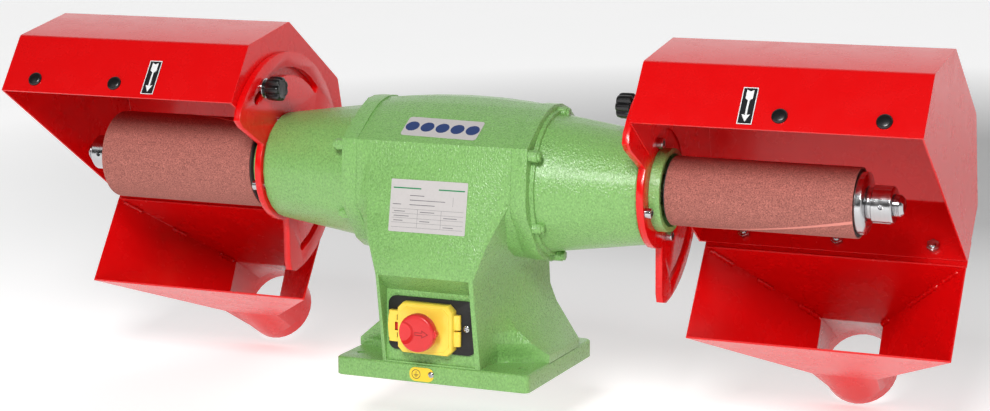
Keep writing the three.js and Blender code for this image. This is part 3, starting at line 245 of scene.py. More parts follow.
CLIP_GAP_DEPTH = 0.0042
CLIP_FACE = -0.1018
CLIP_RISE = 0.0012
CLIP_CUTS = (-0.0100, 0.0100)
CLIP_CUT_X = CLIP_EDGE - 0.0014
CLIP_CUT_SIZE = (0.0009, 0.0040, 0.0060)

# Front of the barrel as (y, z), and what is stuck on it and on the flaps
CREASE = (-0.0855, 0.2645)      # front crease of the barrel
CROWN_EDGE = (-0.0445, 0.2895)  # where the flat facet above the crease meets the round top
BROW = (-0.1135, 0.1215)        # lower edge of the leaning front face
FILM_GAP = 0.0001
INK = 0.00006
GREY_INK = 0.00005
PLATE_X = -0.0002
PLATE_UP = 0.0769               # up the leaning face from the brow to the plate's middle
PLATE_SKEW = 0.004
PLATE_CORNER = 0.0012
PLATE_MARGIN = 0.003
LINE_THICK = 0.0003
PLATE_LINES = (-0.0035, -0.0085, -0.0135, -0.0185, -0.0235)
PLATE_COLUMNS = (               # x, lower and upper end of the upright lines
    (-0.012, -0.0235, -0.0035), (0.016, -0.0235, -0.0035), (0.029, 0.002, 0.012))
BAR_THICK = 0.0008
PLATE_BARS = (                  # x, y and length of the grey bars
    (-0.022, 0.011, 0.017), (-0.022, 0.006, 0.042), (-0.022, 0.001, 0.030), (-0.042, 0.001, 0.010),
    (-0.040, -0.0065, 0.013), (-0.040, -0.0115, 0.018), (-0.009, -0.0065, 0.017), (-0.009, -0.0165, 0.012),
    (0.019, -0.0115, 0.016), (0.019, -0.0215, 0.012), (-0.040, -0.0165, 0.011))
RULE_Y = 0.0185
RULE_THICK = 0.0014
RULE_LEFT = 0.033
RULE_RIGHT = (0.0115, 0.0308)   # x and length
SAFETY_X = 0.0013
SAFETY_UP = 0.026                # up the facet from the crease to the strip's middle
SAFETY_SKEW = 0.028
SAFETY_SIZE = (0.0905, 0.0315)
SAFETY_CORNER = 0.0035
DISCS = 5
DISC_FROM = -0.0362
DISC_PITCH = 0.0181
DISC_RADIUS = 0.0079
DISC_POINTS = 40
EARTH_PLACE = (-0.0105, -0.0951, 0.0095)
EARTH_SIZE = (0.029, 0.0155)
EARTH_CORNER = 0.0068
EARTH_X = -0.0065               # the sign's middle, left of the screw
EARTH_RING = (0.0053, 0.0046)
EARTH_POINTS = 28
EARTH_BARS = ((-0.0004, 0.0030), (-0.0017, 0.0019), (-0.0030, 0.0009))     # y and half length
EARTH_STEM = 0.0034
ARROW_X = {"right": 0.35385, "left": 0.3430}
ARROW_UP = 0.0262               # up the flap from its lower edge to the sticker's middle
ARROW_HALF = (0.0080, 0.0213)
ARROW_CORNER = 0.0012
ARROW_EDGE = 0.0001
ARROW_RIM = 0.0010
ARROW_SHAFT = ((-0.0010, -0.0105), (0.0010, -0.0105), (0.0010, 0.0062), (0.0038, 0.0086),
               (0.0038, 0.0186), (0.0, 0.0166), (-0.0038, 0.0186), (-0.0038, 0.0086), (-0.0010, 0.0062))
ARROW_HEAD = ((0.0, -0.0183), (0.0044, -0.0098), (0.0010, -0.0106), (-0.0010, -0.0106), (-0.0044, -0.0098))


# Properties a user would change


class PaintSettings(bpy.types.PropertyGroup):
    green: FloatVectorProperty(
        name="Casting green", description="Colour of the hammertone enamel",
        default=(0.220, 0.455, 0.130), subtype="COLOR", min=0.0, max=1.0)
    red: FloatVectorProperty(
        name="Sheet red", description="Colour of the gloss powder coat on hoods, funnels and swivel plates",
        default=(0.74, 0.002, 0.003), subtype="COLOR", min=0.0, max=1.0)
    grit: FloatVectorProperty(
        name="Abrasive", description="Colour of the abrasive cloth",
        default=(0.37, 0.128, 0.104), subtype="COLOR", min=0.0, max=1.0)
    yellow: FloatVectorProperty(
        name="Lid yellow", description="Colour of the switch lid",
        default=(1.0, 0.70, 0.075), subtype="COLOR", min=0.0, max=1.0)
    stop_red: FloatVectorProperty(
        name="Stop red", description="Colour of the stop mushroom",
        default=(0.72, 0.022, 0.024), subtype="COLOR", min=0.0, max=1.0)
    cast_edge: FloatProperty(
        name="Casting edge", description="Radius on the edges of the motor housing",
        default=0.002, unit="LENGTH", min=0.0, max=0.004)
    edge: FloatProperty(
        name="Edge rounding", description="Radius broken onto the edges of castings and sheet",
        default=0.0009, unit="LENGTH", min=0.0, max=0.004)


class SheetSettings(bpy.types.PropertyGroup):
    fold: FloatProperty(
        name="Fold", description="How far the hood's long folds are rounded",
        default=0.0028, unit="LENGTH", min=0.0005, max=0.01)
    broken: FloatProperty(
        name="Sheet edge", description="Rounding of cut sheet edges under their paint",
        default=0.0004, unit="LENGTH", min=0.0001, max=0.0009)


class LabelSettings(bpy.types.PropertyGroup):
    plate_width: FloatProperty(
        name="Plate width", description="Width of the blank data plate", default=0.0905, unit="LENGTH")
    plate_height: FloatProperty(
        name="Plate height", description="Height of the blank data plate", default=0.057, unit="LENGTH")
    thickness: FloatProperty(
        name="Film thickness", description="Thickness of plates and stickers", default=0.0004, unit="LENGTH")


class StageSettings(bpy.types.PropertyGroup):
    lens: FloatProperty(
        name="Lens", description="Focal length that gives the photograph's view",
        default=82.353, subtype="DISTANCE_CAMERA")
    back_light: FloatProperty(
        name="Back light", description="Strength of the white surroundings behind the machine",
        default=1.05, min=0.0)
    front_light: FloatProperty(
        name="Front light", description="Strength of the surroundings above and before it",
        default=0.05, min=0.0)


# Materials


class Finish:
    """A procedural surface, built from nodes on Object coordinates in metres."""

    def __init__(self, name, colour, roughness, metallic=0.0, coat=0.0, coat_roughness=0.05):
        self.material = bpy.data.materials.new(name)
        self.material.use_nodes = True
        self.tree = self.material.node_tree
        self.surface = self.tree.nodes["Principled BSDF"]
        self.surface.inputs["Base Color"].default_value = (*colour, 1.0)
        self.surface.inputs["Roughness"].default_value = roughness
        self.surface.inputs["Metallic"].default_value = metallic
        self.surface.inputs["Coat Weight"].default_value = coat
        self.surface.inputs["Coat Roughness"].default_value = coat_roughness
        self.place = self.tree.nodes.new("ShaderNodeTexCoord").outputs["Object"]
        self.height = None

    def link(self, start, end):
        self.tree.links.new(start, end)

    def stretched(self, scale):
        node = self.tree.nodes.new("ShaderNodeMapping")
        node.inputs["Scale"].default_value = scale
        self.link(self.place, node.inputs["Vector"])
        return node.outputs["Vector"]

    def noise(self, scale, detail=2.0, roughness=0.5, stretch=None):
        node = self.tree.nodes.new("ShaderNodeTexNoise")
        node.inputs["Scale"].default_value = scale
        node.inputs["Detail"].default_value = detail
        node.inputs["Roughness"].default_value = roughness
        self.link(self.stretched(stretch) if stretch else self.place, node.inputs["Vector"])
        return node.outputs["Fac"]

    def cells(self, scale, smooth=0.0, stretch=None):
        node = self.tree.nodes.new("ShaderNodeTexVoronoi")
        node.feature = "SMOOTH_F1" if smooth else "F1"
        node.inputs["Scale"].default_value = scale
        if smooth:
            node.inputs["Smoothness"].default_value = smooth
        self.link(self.stretched(stretch) if stretch else self.place, node.inputs["Vector"])
        return node.outputs["Distance"]

    def ramp(self, factor, low, high, start=0.0, end=1.0):
        node = self.tree.nodes.new("ShaderNodeMapRange")
        node.inputs["From Min"].default_value = low
        node.inputs["From Max"].default_value = high
        node.inputs["To Min"].default_value = start
        node.inputs["To Max"].default_value = end
        self.link(factor, node.inputs["Value"])
        return node.outputs["Result"]

    def tint(self, factor, other, strength):
        """Mixes another colour over the present one where the factor is high."""
        node = self.tree.nodes.new("ShaderNodeMix")
        node.data_type = "RGBA"
        base = self.surface.inputs["Base Color"]
        if base.links:
            self.link(base.links[0].from_socket, node.inputs["A"])
        else:
            node.inputs["A"].default_value = base.default_value
        node.inputs["B"].default_value = (*other, 1.0)
        self.link(self.ramp(factor, 0.0, 1.0, 0.0, strength), node.inputs["Factor"])
        self.link(node.outputs["Result"], base)

    def rub(self, factor, low, high):
        self.link(self.ramp(factor, 0.0, 1.0, low, high), self.surface.inputs["Roughness"])

    def bump(self, factor, strength, distance):
        node = self.tree.nodes.new("ShaderNodeBump")
        node.inputs["Strength"].default_value = strength
        node.inputs["Distance"].default_value = distance
        self.link(factor, node.inputs["Height"])
        if self.height:
            self.link(self.height, node.inputs["Normal"])
        self.height = node.outputs["Normal"]
        self.link(self.height, self.surface.inputs["Normal"])
        return self


def shade(colour, factor):
    return tuple(min(1.0, channel * factor) for channel in colour)


def hammertone(colour):
    """Hammered enamel: shallow dimples run together, lighter metal flakes, pigment pooled in the dips."""
    finish = Finish("hammertone_enamel", colour, 0.4, 0.0, 0.12, 0.18)
    finish.surface.inputs["Specular IOR Level"].default_value = 0.5
    dimples = finish.cells(600.0, 0.6, (1.0, 1.0, 0.6))
    grain = finish.noise(560.0, 3.0, 0.65, (1.0, 1.0, 0.7))
    finish.tint(finish.ramp(grain, 0.50, 0.64), shade(colour, 1.4), 0.6)
    finish.tint(finish.ramp(grain, 0.50, 0.38), shade(colour, 0.66), 0.6)
    finish.tint(finish.ramp(dimples, 0.25, 0.62), shade(colour, 0.78), 0.45)
    finish.tint(finish.ramp(finish.noise(14.0), 0.35, 0.7), shade(colour, 1.1), 0.35)
    finish.rub(finish.ramp(grain, 0.3, 0.7), 0.24, 0.38)
    finish.bump(finish.noise(60.0, 2.0), 0.10, 0.0006)
    finish.bump(finish.noise(520.0, 1.0, 0.5, (1.0, 1.0, 0.75)), 0.7, 0.0013)
    return finish.bump(dimples, 0.45, 0.0008).material


def powder_coat(colour):
    """Gloss powder coat on sheet: a trace of orange peel and of unevenness."""
    finish = Finish("red_powder_coat", colour, 0.26, 0.0, 0.14, 0.08)
    finish.surface.inputs["Specular IOR Level"].default_value = 0.42
    finish.tint(finish.ramp(finish.noise(9.0, 3.0), 0.4, 0.7), shade(colour, 0.95), 0.3)
    finish.rub(finish.ramp(finish.noise(40.0, 4.0), 0.3, 0.7), 0.22, 0.30)
    finish.bump(finish.noise(18.0, 1.0), 0.035, 0.0010)
    return finish.bump(finish.noise(420.0, 1.0), 0.05, 0.0004).material


def abrasive_cloth(colour):
    """Bonded grit: separate grains, darker speckles and a few lighter speckles, which are painted glints on
    the grains.
    """
    finish = Finish("abrasive_cloth", colour, 0.92)
    finish.surface.inputs["Specular IOR Level"].default_value = 0.35
    grains = finish.cells(1500.0)
    speckle = finish.noise(760.0, 4.0, 0.75)
    # lighter speckles: painted glints on the grains
    finish.tint(finish.ramp(speckle, 0.50, 0.64), shade(colour, 1.75), 0.75)
    finish.tint(finish.ramp(speckle, 0.50, 0.38), shade(colour, 0.4), 0.8)
    finish.tint(finish.ramp(finish.noise(120.0, 3.0), 0.4, 0.65), shade(colour, 0.8), 0.3)
    finish.bump(speckle, 0.5, 0.0004)
    return finish.bump(grains, 0.5, 0.0003).material


def turned_steel(name, colour, roughness):
    """Steel turned on a lathe: fine rings round the spindle and small changes in polish."""
    finish = Finish(name, colour, roughness, 1.0)
    rings = finish.noise(30.0, 4.0, 0.7, (140.0, 1.0, 1.0))
    finish.rub(finish.ramp(finish.noise(160.0, 3.0), 0.3, 0.7), roughness * 0.7, roughness * 1.4)
    finish.tint(finish.ramp(rings, 0.3, 0.8), shade(colour, 0.72), 0.5)
    return finish.bump(rings, 0.16, 0.0001).material


def moulded(name, colour, roughness, coat=0.0):
    """Moulded plastic or rubber: a fine spark-eroded grain."""
    finish = Finish(name, colour, roughness, 0.0, coat, 0.12)
    grain = finish.noise(1300.0, 2.0)
    finish.tint(finish.ramp(finish.noise(45.0, 3.0), 0.4, 0.7), shade(colour, 0.82), 0.4)
    finish.rub(finish.ramp(grain, 0.3, 0.7), roughness * 0.85, min(1.0, roughness * 1.2))
    return finish.bump(grain, 0.12, 0.0002).material


def printed_film(name, colour):
    """Printed label film: slightly glossy, with a faint unevenness from what is under it."""
    finish = Finish(name, colour, 0.34, 0.0, 0.25, 0.12)
    finish.tint(finish.ramp(finish.noise(300.0, 3.0), 0.45, 0.7), shade(colour, 0.9), 0.35)
    return finish.bump(finish.noise(380.0, 2.0), 0.08, 0.0003).material


# Mesh helpers


def clear_selection():
    if bpy.context.object and bpy.context.object.mode != "OBJECT":
        bpy.ops.object.mode_set(mode="OBJECT")
    bpy.ops.object.select_all(action="DESELECT")


def take(piece):
    """Selects one piece alone and makes it the active one."""
    clear_selection()
    piece.select_set(True)
    bpy.context.view_layer.objects.active = piece


def bake(piece):
    """Writes a piece's place, turn and size into its mesh."""
    take(piece)
    bpy.ops.object.transform_apply(location=True, rotation=True, scale=True)
    return piece


def apply_modifiers(piece):
    take(piece)
    for modifier in list(piece.modifiers):
        bpy.ops.object.modifier_apply(modifier=modifier.name)
    return piece


def shade_smooth(piece):
    for polygon in piece.data.polygons:
        polygon.use_smooth = True


def smooth_edges(piece, width, segments=2, angle=30.0):
    """Rounds sharp edges with modifiers and shades the rest smooth."""
    weld = piece.modifiers.new("joined", "WELD")
    weld.merge_threshold = MERGE
    bevel = piece.modifiers.new("broken edges", "BEVEL")
    bevel.width = width
    bevel.segments = segments
    bevel.limit_method = "ANGLE"
    bevel.angle_limit = math.radians(angle)
    bevel.harden_normals = True
    bevel.use_clamp_overlap = True
    shade_smooth(piece)


def rounded(piece, width, segments=2, angle=40.0):
    """Rounds a new piece's sharp edges and writes the rounding into its mesh."""
    smooth_edges(piece, width, segments, angle)
    return apply_modifiers(piece)


def paint(piece, material):
    piece.data.materials.clear()
    piece.data.materials.append(material)


def edit(piece, kind="FACE"):
    """Opens a piece for editing with nothing selected."""
    take(piece)
    bpy.ops.object.mode_set(mode="EDIT")
    bpy.ops.mesh.select_mode(type=kind)
    bpy.ops.mesh.select_all(action="DESELECT")


def pick(piece, kind, test):
    """Selects the faces or edges that pass a test, and stops if there are none."""
    bpy.ops.mesh.select_mode(type=kind)
    bpy.ops.mesh.select_all(action="DESELECT")
    mesh = bmesh.from_edit_mesh(piece.data)
    items = mesh.faces if kind == "FACE" else mesh.edges
    chosen = [item for item in items if test(item)]
    if not chosen:
        raise RuntimeError(f"{piece.name}: nothing to select")
    for item in chosen:
        item.select_set(True)
    bmesh.update_edit_mesh(piece.data)


def leave():
    bpy.ops.object.mode_set(mode="OBJECT")


def face_outwards():
    """Turns every face of the piece being edited outwards, and ends the edit."""
    bpy.ops.mesh.select_all(action="SELECT")
    bpy.ops.mesh.normals_make_consistent(inside=False)
    leave()


def drawn(name, points, edges=(), faces=()):
    """A new piece from its points and the edges or faces between them."""
    mesh = bpy.data.meshes.new(name)
    mesh.from_pydata(points, edges, faces)
    piece = bpy.data.objects.new(name, mesh)
    bpy.context.scene.collection.objects.link(piece)
    return piece


def block(place, size, turn=(0.0, 0.0, 0.0)):
    """A box of a given size, turned and placed."""
    bpy.ops.mesh.primitive_cube_add(size=1.0, location=place, rotation=turn)
    bpy.context.object.scale = size
    return bake(bpy.context.object)


def rod(place, radius, length, turn, sides):
    """A round or six-sided bar, turned and placed, that cuts a hole."""
    bpy.ops.mesh.primitive_cylinder_add(
        vertices=sides, radius=radius, depth=length, location=place, rotation=turn)
    return bpy.context.object


def thicken(piece, thickness):
    """Gives an open sheet its thickness, inwards from its outer face."""
    wall = piece.modifiers.new("wall", "SOLIDIFY")
    wall.thickness = thickness
    wall.offset = -1.0
    wall.use_even_offset = True
    wall.use_quality_normals = True
    apply_modifiers(piece)


def carve(piece, cutter):
    """Takes another piece away from this one."""
    hole = piece.modifiers.new("hole", "BOOLEAN")
    hole.operation = "DIFFERENCE"
    hole.object = cutter
    apply_modifiers(piece)
    bpy.data.objects.remove(cutter)


def joined(name, pieces):
    clear_selection()
    for piece in pieces:
        piece.select_set(True)
    bpy.context.view_layer.objects.active = pieces[0]
    bpy.ops.object.join()
    whole = bpy.context.view_layer.objects.active
    whole.name = name
    return whole


def twin(piece, name):
    """The same piece for the left end: mirrored, then tilted about the spindle as the left hood is."""
    take(piece)
    bpy.ops.object.duplicate()
    copy = bpy.context.view_layer.objects.active
    copy.name = name
    copy.scale.x = -1.0
    bake(copy)
    edit(copy)
    bpy.ops.mesh.select_all(action="SELECT")
    bpy.ops.mesh.flip_normals()
    leave()
    pivot = Matrix.Translation((0.0, 0.0, AXIS_HEIGHT))
    copy.matrix_world = pivot @ Matrix.Rotation(LEFT_TILT, 4, "X") @ pivot.inverted()
    return bake(copy)


def sent_left(piece):
    """Puts a piece's twin at the left end in its place."""
    copy = twin(piece, f"{piece.name}_end")
    bpy.data.objects.remove(piece)
    return copy


def direction(start, end):
    """Unit vector (y, z) between two (y, z) points."""
    dy, dz = end[0] - start[0], end[1] - start[1]
    length = math.hypot(dy, dz)
    return dy / length, dz / length


def midway(start, end):
    return (start[0] + end[0]) / 2, (start[1] + end[1]) / 2


def lathe(name, profile, origin, axis, steps=48):
    """Spins a profile of (along, radius) pairs about an axis through the origin, for turned pieces."""
    along = Vector(axis).normalized()
    side = along.orthogonal().normalized()
    points = [Vector(origin) + along * a + side * r for a, r in profile]
    piece = drawn(name, points, [(i, i + 1) for i in range(len(points) - 1)])
    edit(piece, "VERT")
    bpy.ops.mesh.select_all(action="SELECT")
    bpy.ops.mesh.spin(steps=steps, angle=math.tau, center=origin, axis=along)
    bpy.ops.mesh.select_all(action="SELECT")
    bpy.ops.mesh.remove_doubles(threshold=MERGE)
    face_outwards()
    return piece


def lay(piece, centre, right, up, lift=0.0):
    """Moves a piece that was drawn flat at the origin onto a face."""
    across = Vector(right).normalized()
    out = across.cross(Vector(up)).normalized()
    upright = out.cross(across)
    turn = Matrix((across, upright, out)).transposed().to_4x4()
    piece.matrix_world = Matrix.Translation(Vector(centre) + out * lift) @ turn
    return bake(piece)


def on_face(x, start, end, reach):
    """A place on the face between two (y, z) lines, a reach up from the first, and the face's way up."""
    dy, dz = direction(start, end)
    place = Vector((x, start[0] + dy * reach, start[1] + dz * reach)) + Vector((0.0, -dz, dy)) * FILM_GAP
    return place, (0.0, dy, dz)


def card(name, centre, right, up, size, thickness, corner):
    """A thin plate with rounded corners, lying on a face: centre, its right and up directions, size."""
    bpy.ops.mesh.primitive_plane_add(size=1.0)
    piece = bpy.context.object
    piece.name = name
    piece.scale = (*size, 1.0)
    bake(piece)
    edit(piece, "VERT")
    bpy.ops.mesh.select_all(action="SELECT")
    bpy.ops.mesh.bevel(offset=corner, segments=4, affect="VERTICES")
    bpy.ops.mesh.select_mode(type="FACE")
    bpy.ops.mesh.select_all(action="SELECT")
    bpy.ops.mesh.extrude_region_move(TRANSFORM_OT_translate={"value": (0.0, 0.0, thickness)})
    face_outwards()
    return lay(piece, centre, right, up)


def cutout(name, outlines, centre, right, up, thickness, lift=0.0):
    """Flat shapes drawn as outlines, given a thickness and laid on a face."""
    points, faces = [], []
    for outline in outlines:
        faces.append(list(range(len(points), len(points) + len(outline))))
        points.extend((x, y, 0.0) for x, y in outline)
    piece = drawn(name, points, (), faces)
    edit(piece)
    bpy.ops.mesh.select_all(action="SELECT")
    bpy.ops.mesh.extrude_region_move(TRANSFORM_OT_translate={"value": (0.0, 0.0, thickness)})
    face_outwards()
    return lay(piece, centre, right, up, lift)


def oblong(x, y, width, height):
    """Outline of an upright rectangle from its lower left corner."""
    return [(x, y), (x + width, y), (x + width, y + height), (x, y + height)]


def ring_points(x, radius, count):
    """Outline of a disc in as many points, its middle at a height of zero."""
    turns = [i * math.tau / count for i in range(count)]
    return [(x + radius * math.cos(turn), radius * math.sin(turn)) for turn in turns]


def traced(corners, half):
    """Bars of a given half width along the sides of a closed shape, mitred at its corners."""
    inner, outer = [], []
    for i, (x, y) in enumerate(corners):
        ax, ay = direction(corners[i - 1], (x, y))
        bx, by = direction((x, y), corners[(i + 1) % len(corners)])
        share = half / (1.0 + ax * bx + ay * by)
        inner.append((x - (ay + by) * share, y + (ax + bx) * share))
        outer.append((x + (ay + by) * share, y - (ax + bx) * share))
    return [[outer[i - 1], outer[i], inner[i], inner[i - 1]] for i in range(len(corners))]


def settle(piece, body, slot, finish=None):
    """Gives a new piece its finish, the slot's own unless another is named, and lets it ride on a body."""
    paint(bake(piece), MATERIALS[finish or slot])
    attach(piece, body)


def settle_pair(right, left_name, slot, node):
    """Puts a hood's piece and its twin at the left end in place of the plain ones."""
    left = twin(right, left_name)
    for piece, (side, _) in zip((right, left), SIDES):
        settle(piece, f"hood_{side}", slot)
        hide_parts(f"{node}_{side}")


# Operators


class POLISHER_OT_stage(bpy.types.Operator):
    """Pale floor, white surroundings, soft lights and the camera at the photograph's angle"""

    bl_idname = "polisher.stage"
    bl_label = "Stage and camera"

    def execute(self, context):
        settings = context.scene.polisher_stage
        self.floor()
        context.scene.world = self.surroundings(settings)
        context.scene.view_settings.view_transform = "Standard"
        for name, place, size, power in LAMPS:
            self.lamp(name, place, size, power)
        context.scene.camera = self.camera(settings)
        return {"FINISHED"}

    def floor(self):
        """Pale floor that glows a little, more with the distance from the machine."""
        low = Vector(CAD_BOX[0])
        bpy.ops.mesh.primitive_plane_add(size=FLOOR_SIZE, location=(*FLOOR_PLACE, low.z - FLOOR_GAP))
        floor = bpy.context.object
        floor.name = "floor"
        finish = Finish("pale_floor", FLOOR_COLOUR, 0.85)
        finish.surface.inputs["Emission Color"].default_value = (1.0, 1.0, 1.0, 1.0)
        away = finish.tree.nodes.new("ShaderNodeVectorMath")
        away.operation = "LENGTH"
        finish.link(finish.place, away.inputs[0])
        glow = finish.ramp(away.outputs["Value"], GLOW_FROM, GLOW_FULL, 0.0, GLOW)
        finish.link(glow, finish.surface.inputs["Emission Strength"])
        finish.tint(finish.ramp(finish.noise(3.0), 0.3, 0.7), FLOOR_PATCHES, 0.4)
        paint(floor, finish.material)
        clear_selection()

    def surroundings(self, settings):
        """White behind the machine, fading to a dimmer room above and before it."""
        world = bpy.data.worlds.new("soft_surroundings")
        world.use_nodes = True
        tree = world.node_tree
        lean = tree.nodes.new("ShaderNodeVectorMath")
        lean.operation = "DOT_PRODUCT"
        lean.inputs[1].default_value = WHITE_SIDE
        tree.links.new(tree.nodes.new("ShaderNodeTexCoord").outputs["Generated"], lean.inputs[0])
        fade = tree.nodes.new("ShaderNodeMapRange")
        fade.interpolation_type = "SMOOTHSTEP"
        fade.inputs["From Min"].default_value = -0.3
        fade.inputs["From Max"].default_value = 0.4
        fade.inputs["To Min"].default_value = settings.front_light
        fade.inputs["To Max"].default_value = settings.back_light
        tree.links.new(lean.outputs["Value"], fade.inputs["Value"])
        background = tree.nodes["Background"]
        background.inputs["Color"].default_value = (1.0, 1.0, 1.0, 1.0)
        tree.links.new(fade.outputs["Result"], background.inputs["Strength"])
        return world

    def lamp(self, name, place, size, power):
        data = bpy.data.lights.new(name, "AREA")
        data.size = size
        data.energy = power
        lamp = bpy.data.objects.new(name, data)
        bpy.context.scene.collection.objects.link(lamp)
        lamp.location = place
        lamp.rotation_euler = (Vector(LAMP_TARGET) - Vector(place)).to_track_quat("-Z", "Y").to_euler()

    def camera(self, settings):
        data = bpy.data.cameras.new("photograph")
        data.lens = settings.lens
        data.sensor_width = SENSOR
        data.shift_x, data.shift_y = CAMERA_SHIFT
        data.clip_end = 50.0
        camera = bpy.data.objects.new("photograph", data)
        bpy.context.scene.collection.objects.link(camera)
        back = Vector(CAMERA_BACK).normalized()
        right = Vector(CAMERA_RIGHT).normalized()
        up = back.cross(right)
        turn = Matrix((right, up, back)).transposed().to_4x4()
        camera.matrix_world = Matrix.Translation(CAMERA_PLACE) @ turn
        return camera


class POLISHER_OT_finishes(bpy.types.Operator):
    """Paint, steel, plastic and rubber on the frame's own pieces, with their edges broken"""

    bl_idname = "polisher.finishes"
    bl_label = "Finishes"

    def execute(self, context):
        settings = context.scene.polisher_paint
        MATERIALS.update({
            "green_enamel": hammertone(settings.green),
            "red_powder_coat": powder_coat(settings.red),
            "bright_steel": turned_steel("bright_steel", (0.56, 0.56, 0.57), 0.17),
            "dark_steel": turned_steel("dark_steel", (0.30, 0.30, 0.31), 0.45),
            "core_steel": turned_steel("core_steel", (0.33, 0.26, 0.20), 0.5),
            "abrasive_cloth": abrasive_cloth(settings.grit),
            "drum_rubber": moulded("drum_rubber", (0.035, 0.033, 0.032), 0.7),
            "black_plastic": moulded("black_plastic", (0.006, 0.006, 0.0065), 0.30, 0.1),
            "black_rubber": moulded("black_rubber", (0.010, 0.009, 0.009), 0.6),
            "yellow_plastic": moulded("yellow_plastic", settings.yellow, 0.35, 0.2),
            "stop_red_plastic": moulded("stop_red_plastic", settings.stop_red, 0.35, 0.2),
            "start_green_plastic": moulded("start_green_plastic", (0.02, 0.28, 0.06), 0.35, 0.2),
            # grit at nearly twice its brightness for the cloth's joint: a painted highlight along the raised
            # joint
            "cloth_joint": moulded("cloth_joint", shade(settings.grit, 1.9), 0.6),
            # stop red at half brightness for the mushroom's arrow: painted shade, standing in for the shadow
            # in an engraved outline
            "arrow_painted_shade": moulded("arrow_painted_shade", shade(settings.stop_red, 0.5), 0.45),
            "pale_film": printed_film("pale_film", (0.56, 0.53, 0.52)),
            "yellow_film": printed_film("yellow_film", (0.90, 0.62, 0.02)),
            "black_film": printed_film("black_film", (0.012, 0.012, 0.014)),
            "white_ink": printed_film("white_ink", (0.88, 0.88, 0.88)),
            "grey_ink": printed_film("grey_ink", (0.17, 0.165, 0.175)),
            "black_ink": printed_film("black_ink", (0.02, 0.02, 0.02)),
            "green_ink": printed_film("green_ink", (0.01, 0.24, 0.08)),
            "blue_ink": printed_film("blue_ink", (0.008, 0.035, 0.16)),
        })
        for name, node in NODES.items():
            slot = NODE_SLOTS[name]
            paint(node, MATERIALS[slot])
            if name == "motor_housing":
                smooth_edges(node, settings.cast_edge, 3)
            elif slot == "green_enamel":
                smooth_edges(node, settings.edge, 3)
            else:
                smooth_edges(node, settings.edge * SMALL_EDGE_SHARE)
        return {"FINISHED"}


class POLISHER_OT_hoods(bpy.types.Operator):
    """Bent sheet hoods: a box cut to the outline, folds rounded, opened at the front and hollowed"""

    bl_idname = "polisher.hoods"
    bl_label = "Hoods"

    def execute(self, context):
        settle_pair(self.shell(context.scene.polisher_sheet), "hood_shell_left", "red_powder_coat", "hood")
        return {"FINISHED"}

    def shell(self, settings):
        start, end = HOOD_SPAN
        hood = block(((start + end) / 2, *BLANK_CENTRE), (end - start, BLANK_SIZE, BLANK_SIZE))
        hood.name = "hood_shell_right"
        edit(hood)
        closed = HOOD_OUTLINE + HOOD_OUTLINE[:1]
        for near, far in zip(closed, closed[1:]):
            dy, dz = direction(near, far)
            bpy.ops.mesh.select_all(action="SELECT")
            bpy.ops.mesh.bisect(
                plane_co=(0.0, *near), plane_no=(0.0, -dz, dy), use_fill=True, clear_outer=True)
        folds = HOOD_OUTLINE[1:5]
        pick(hood, "EDGE", lambda edge: any(
            all(math.dist(vertex.co.yz, fold) < NEAR for vertex in edge.verts) for fold in folds))
        bpy.ops.mesh.bevel(offset=settings.fold, segments=3, affect="EDGES")
        dy, dz = direction(HOOD_OUTLINE[-1], HOOD_OUTLINE[0])
        opening = Vector((0.0, -dz, dy))
        pick(hood, "FACE", lambda face: face.normal.dot(opening) > FACING)
        bpy.ops.mesh.delete(type="ONLY_FACE")
        leave()
        thicken(hood, SHEET)
        carve(hood, rod((start + SHEET / 2, 0.0, AXIS_HEIGHT), HOOD_NOTCH, 6 * SHEET, ALONG, 64))
        return rounded(hood, settings.broken)


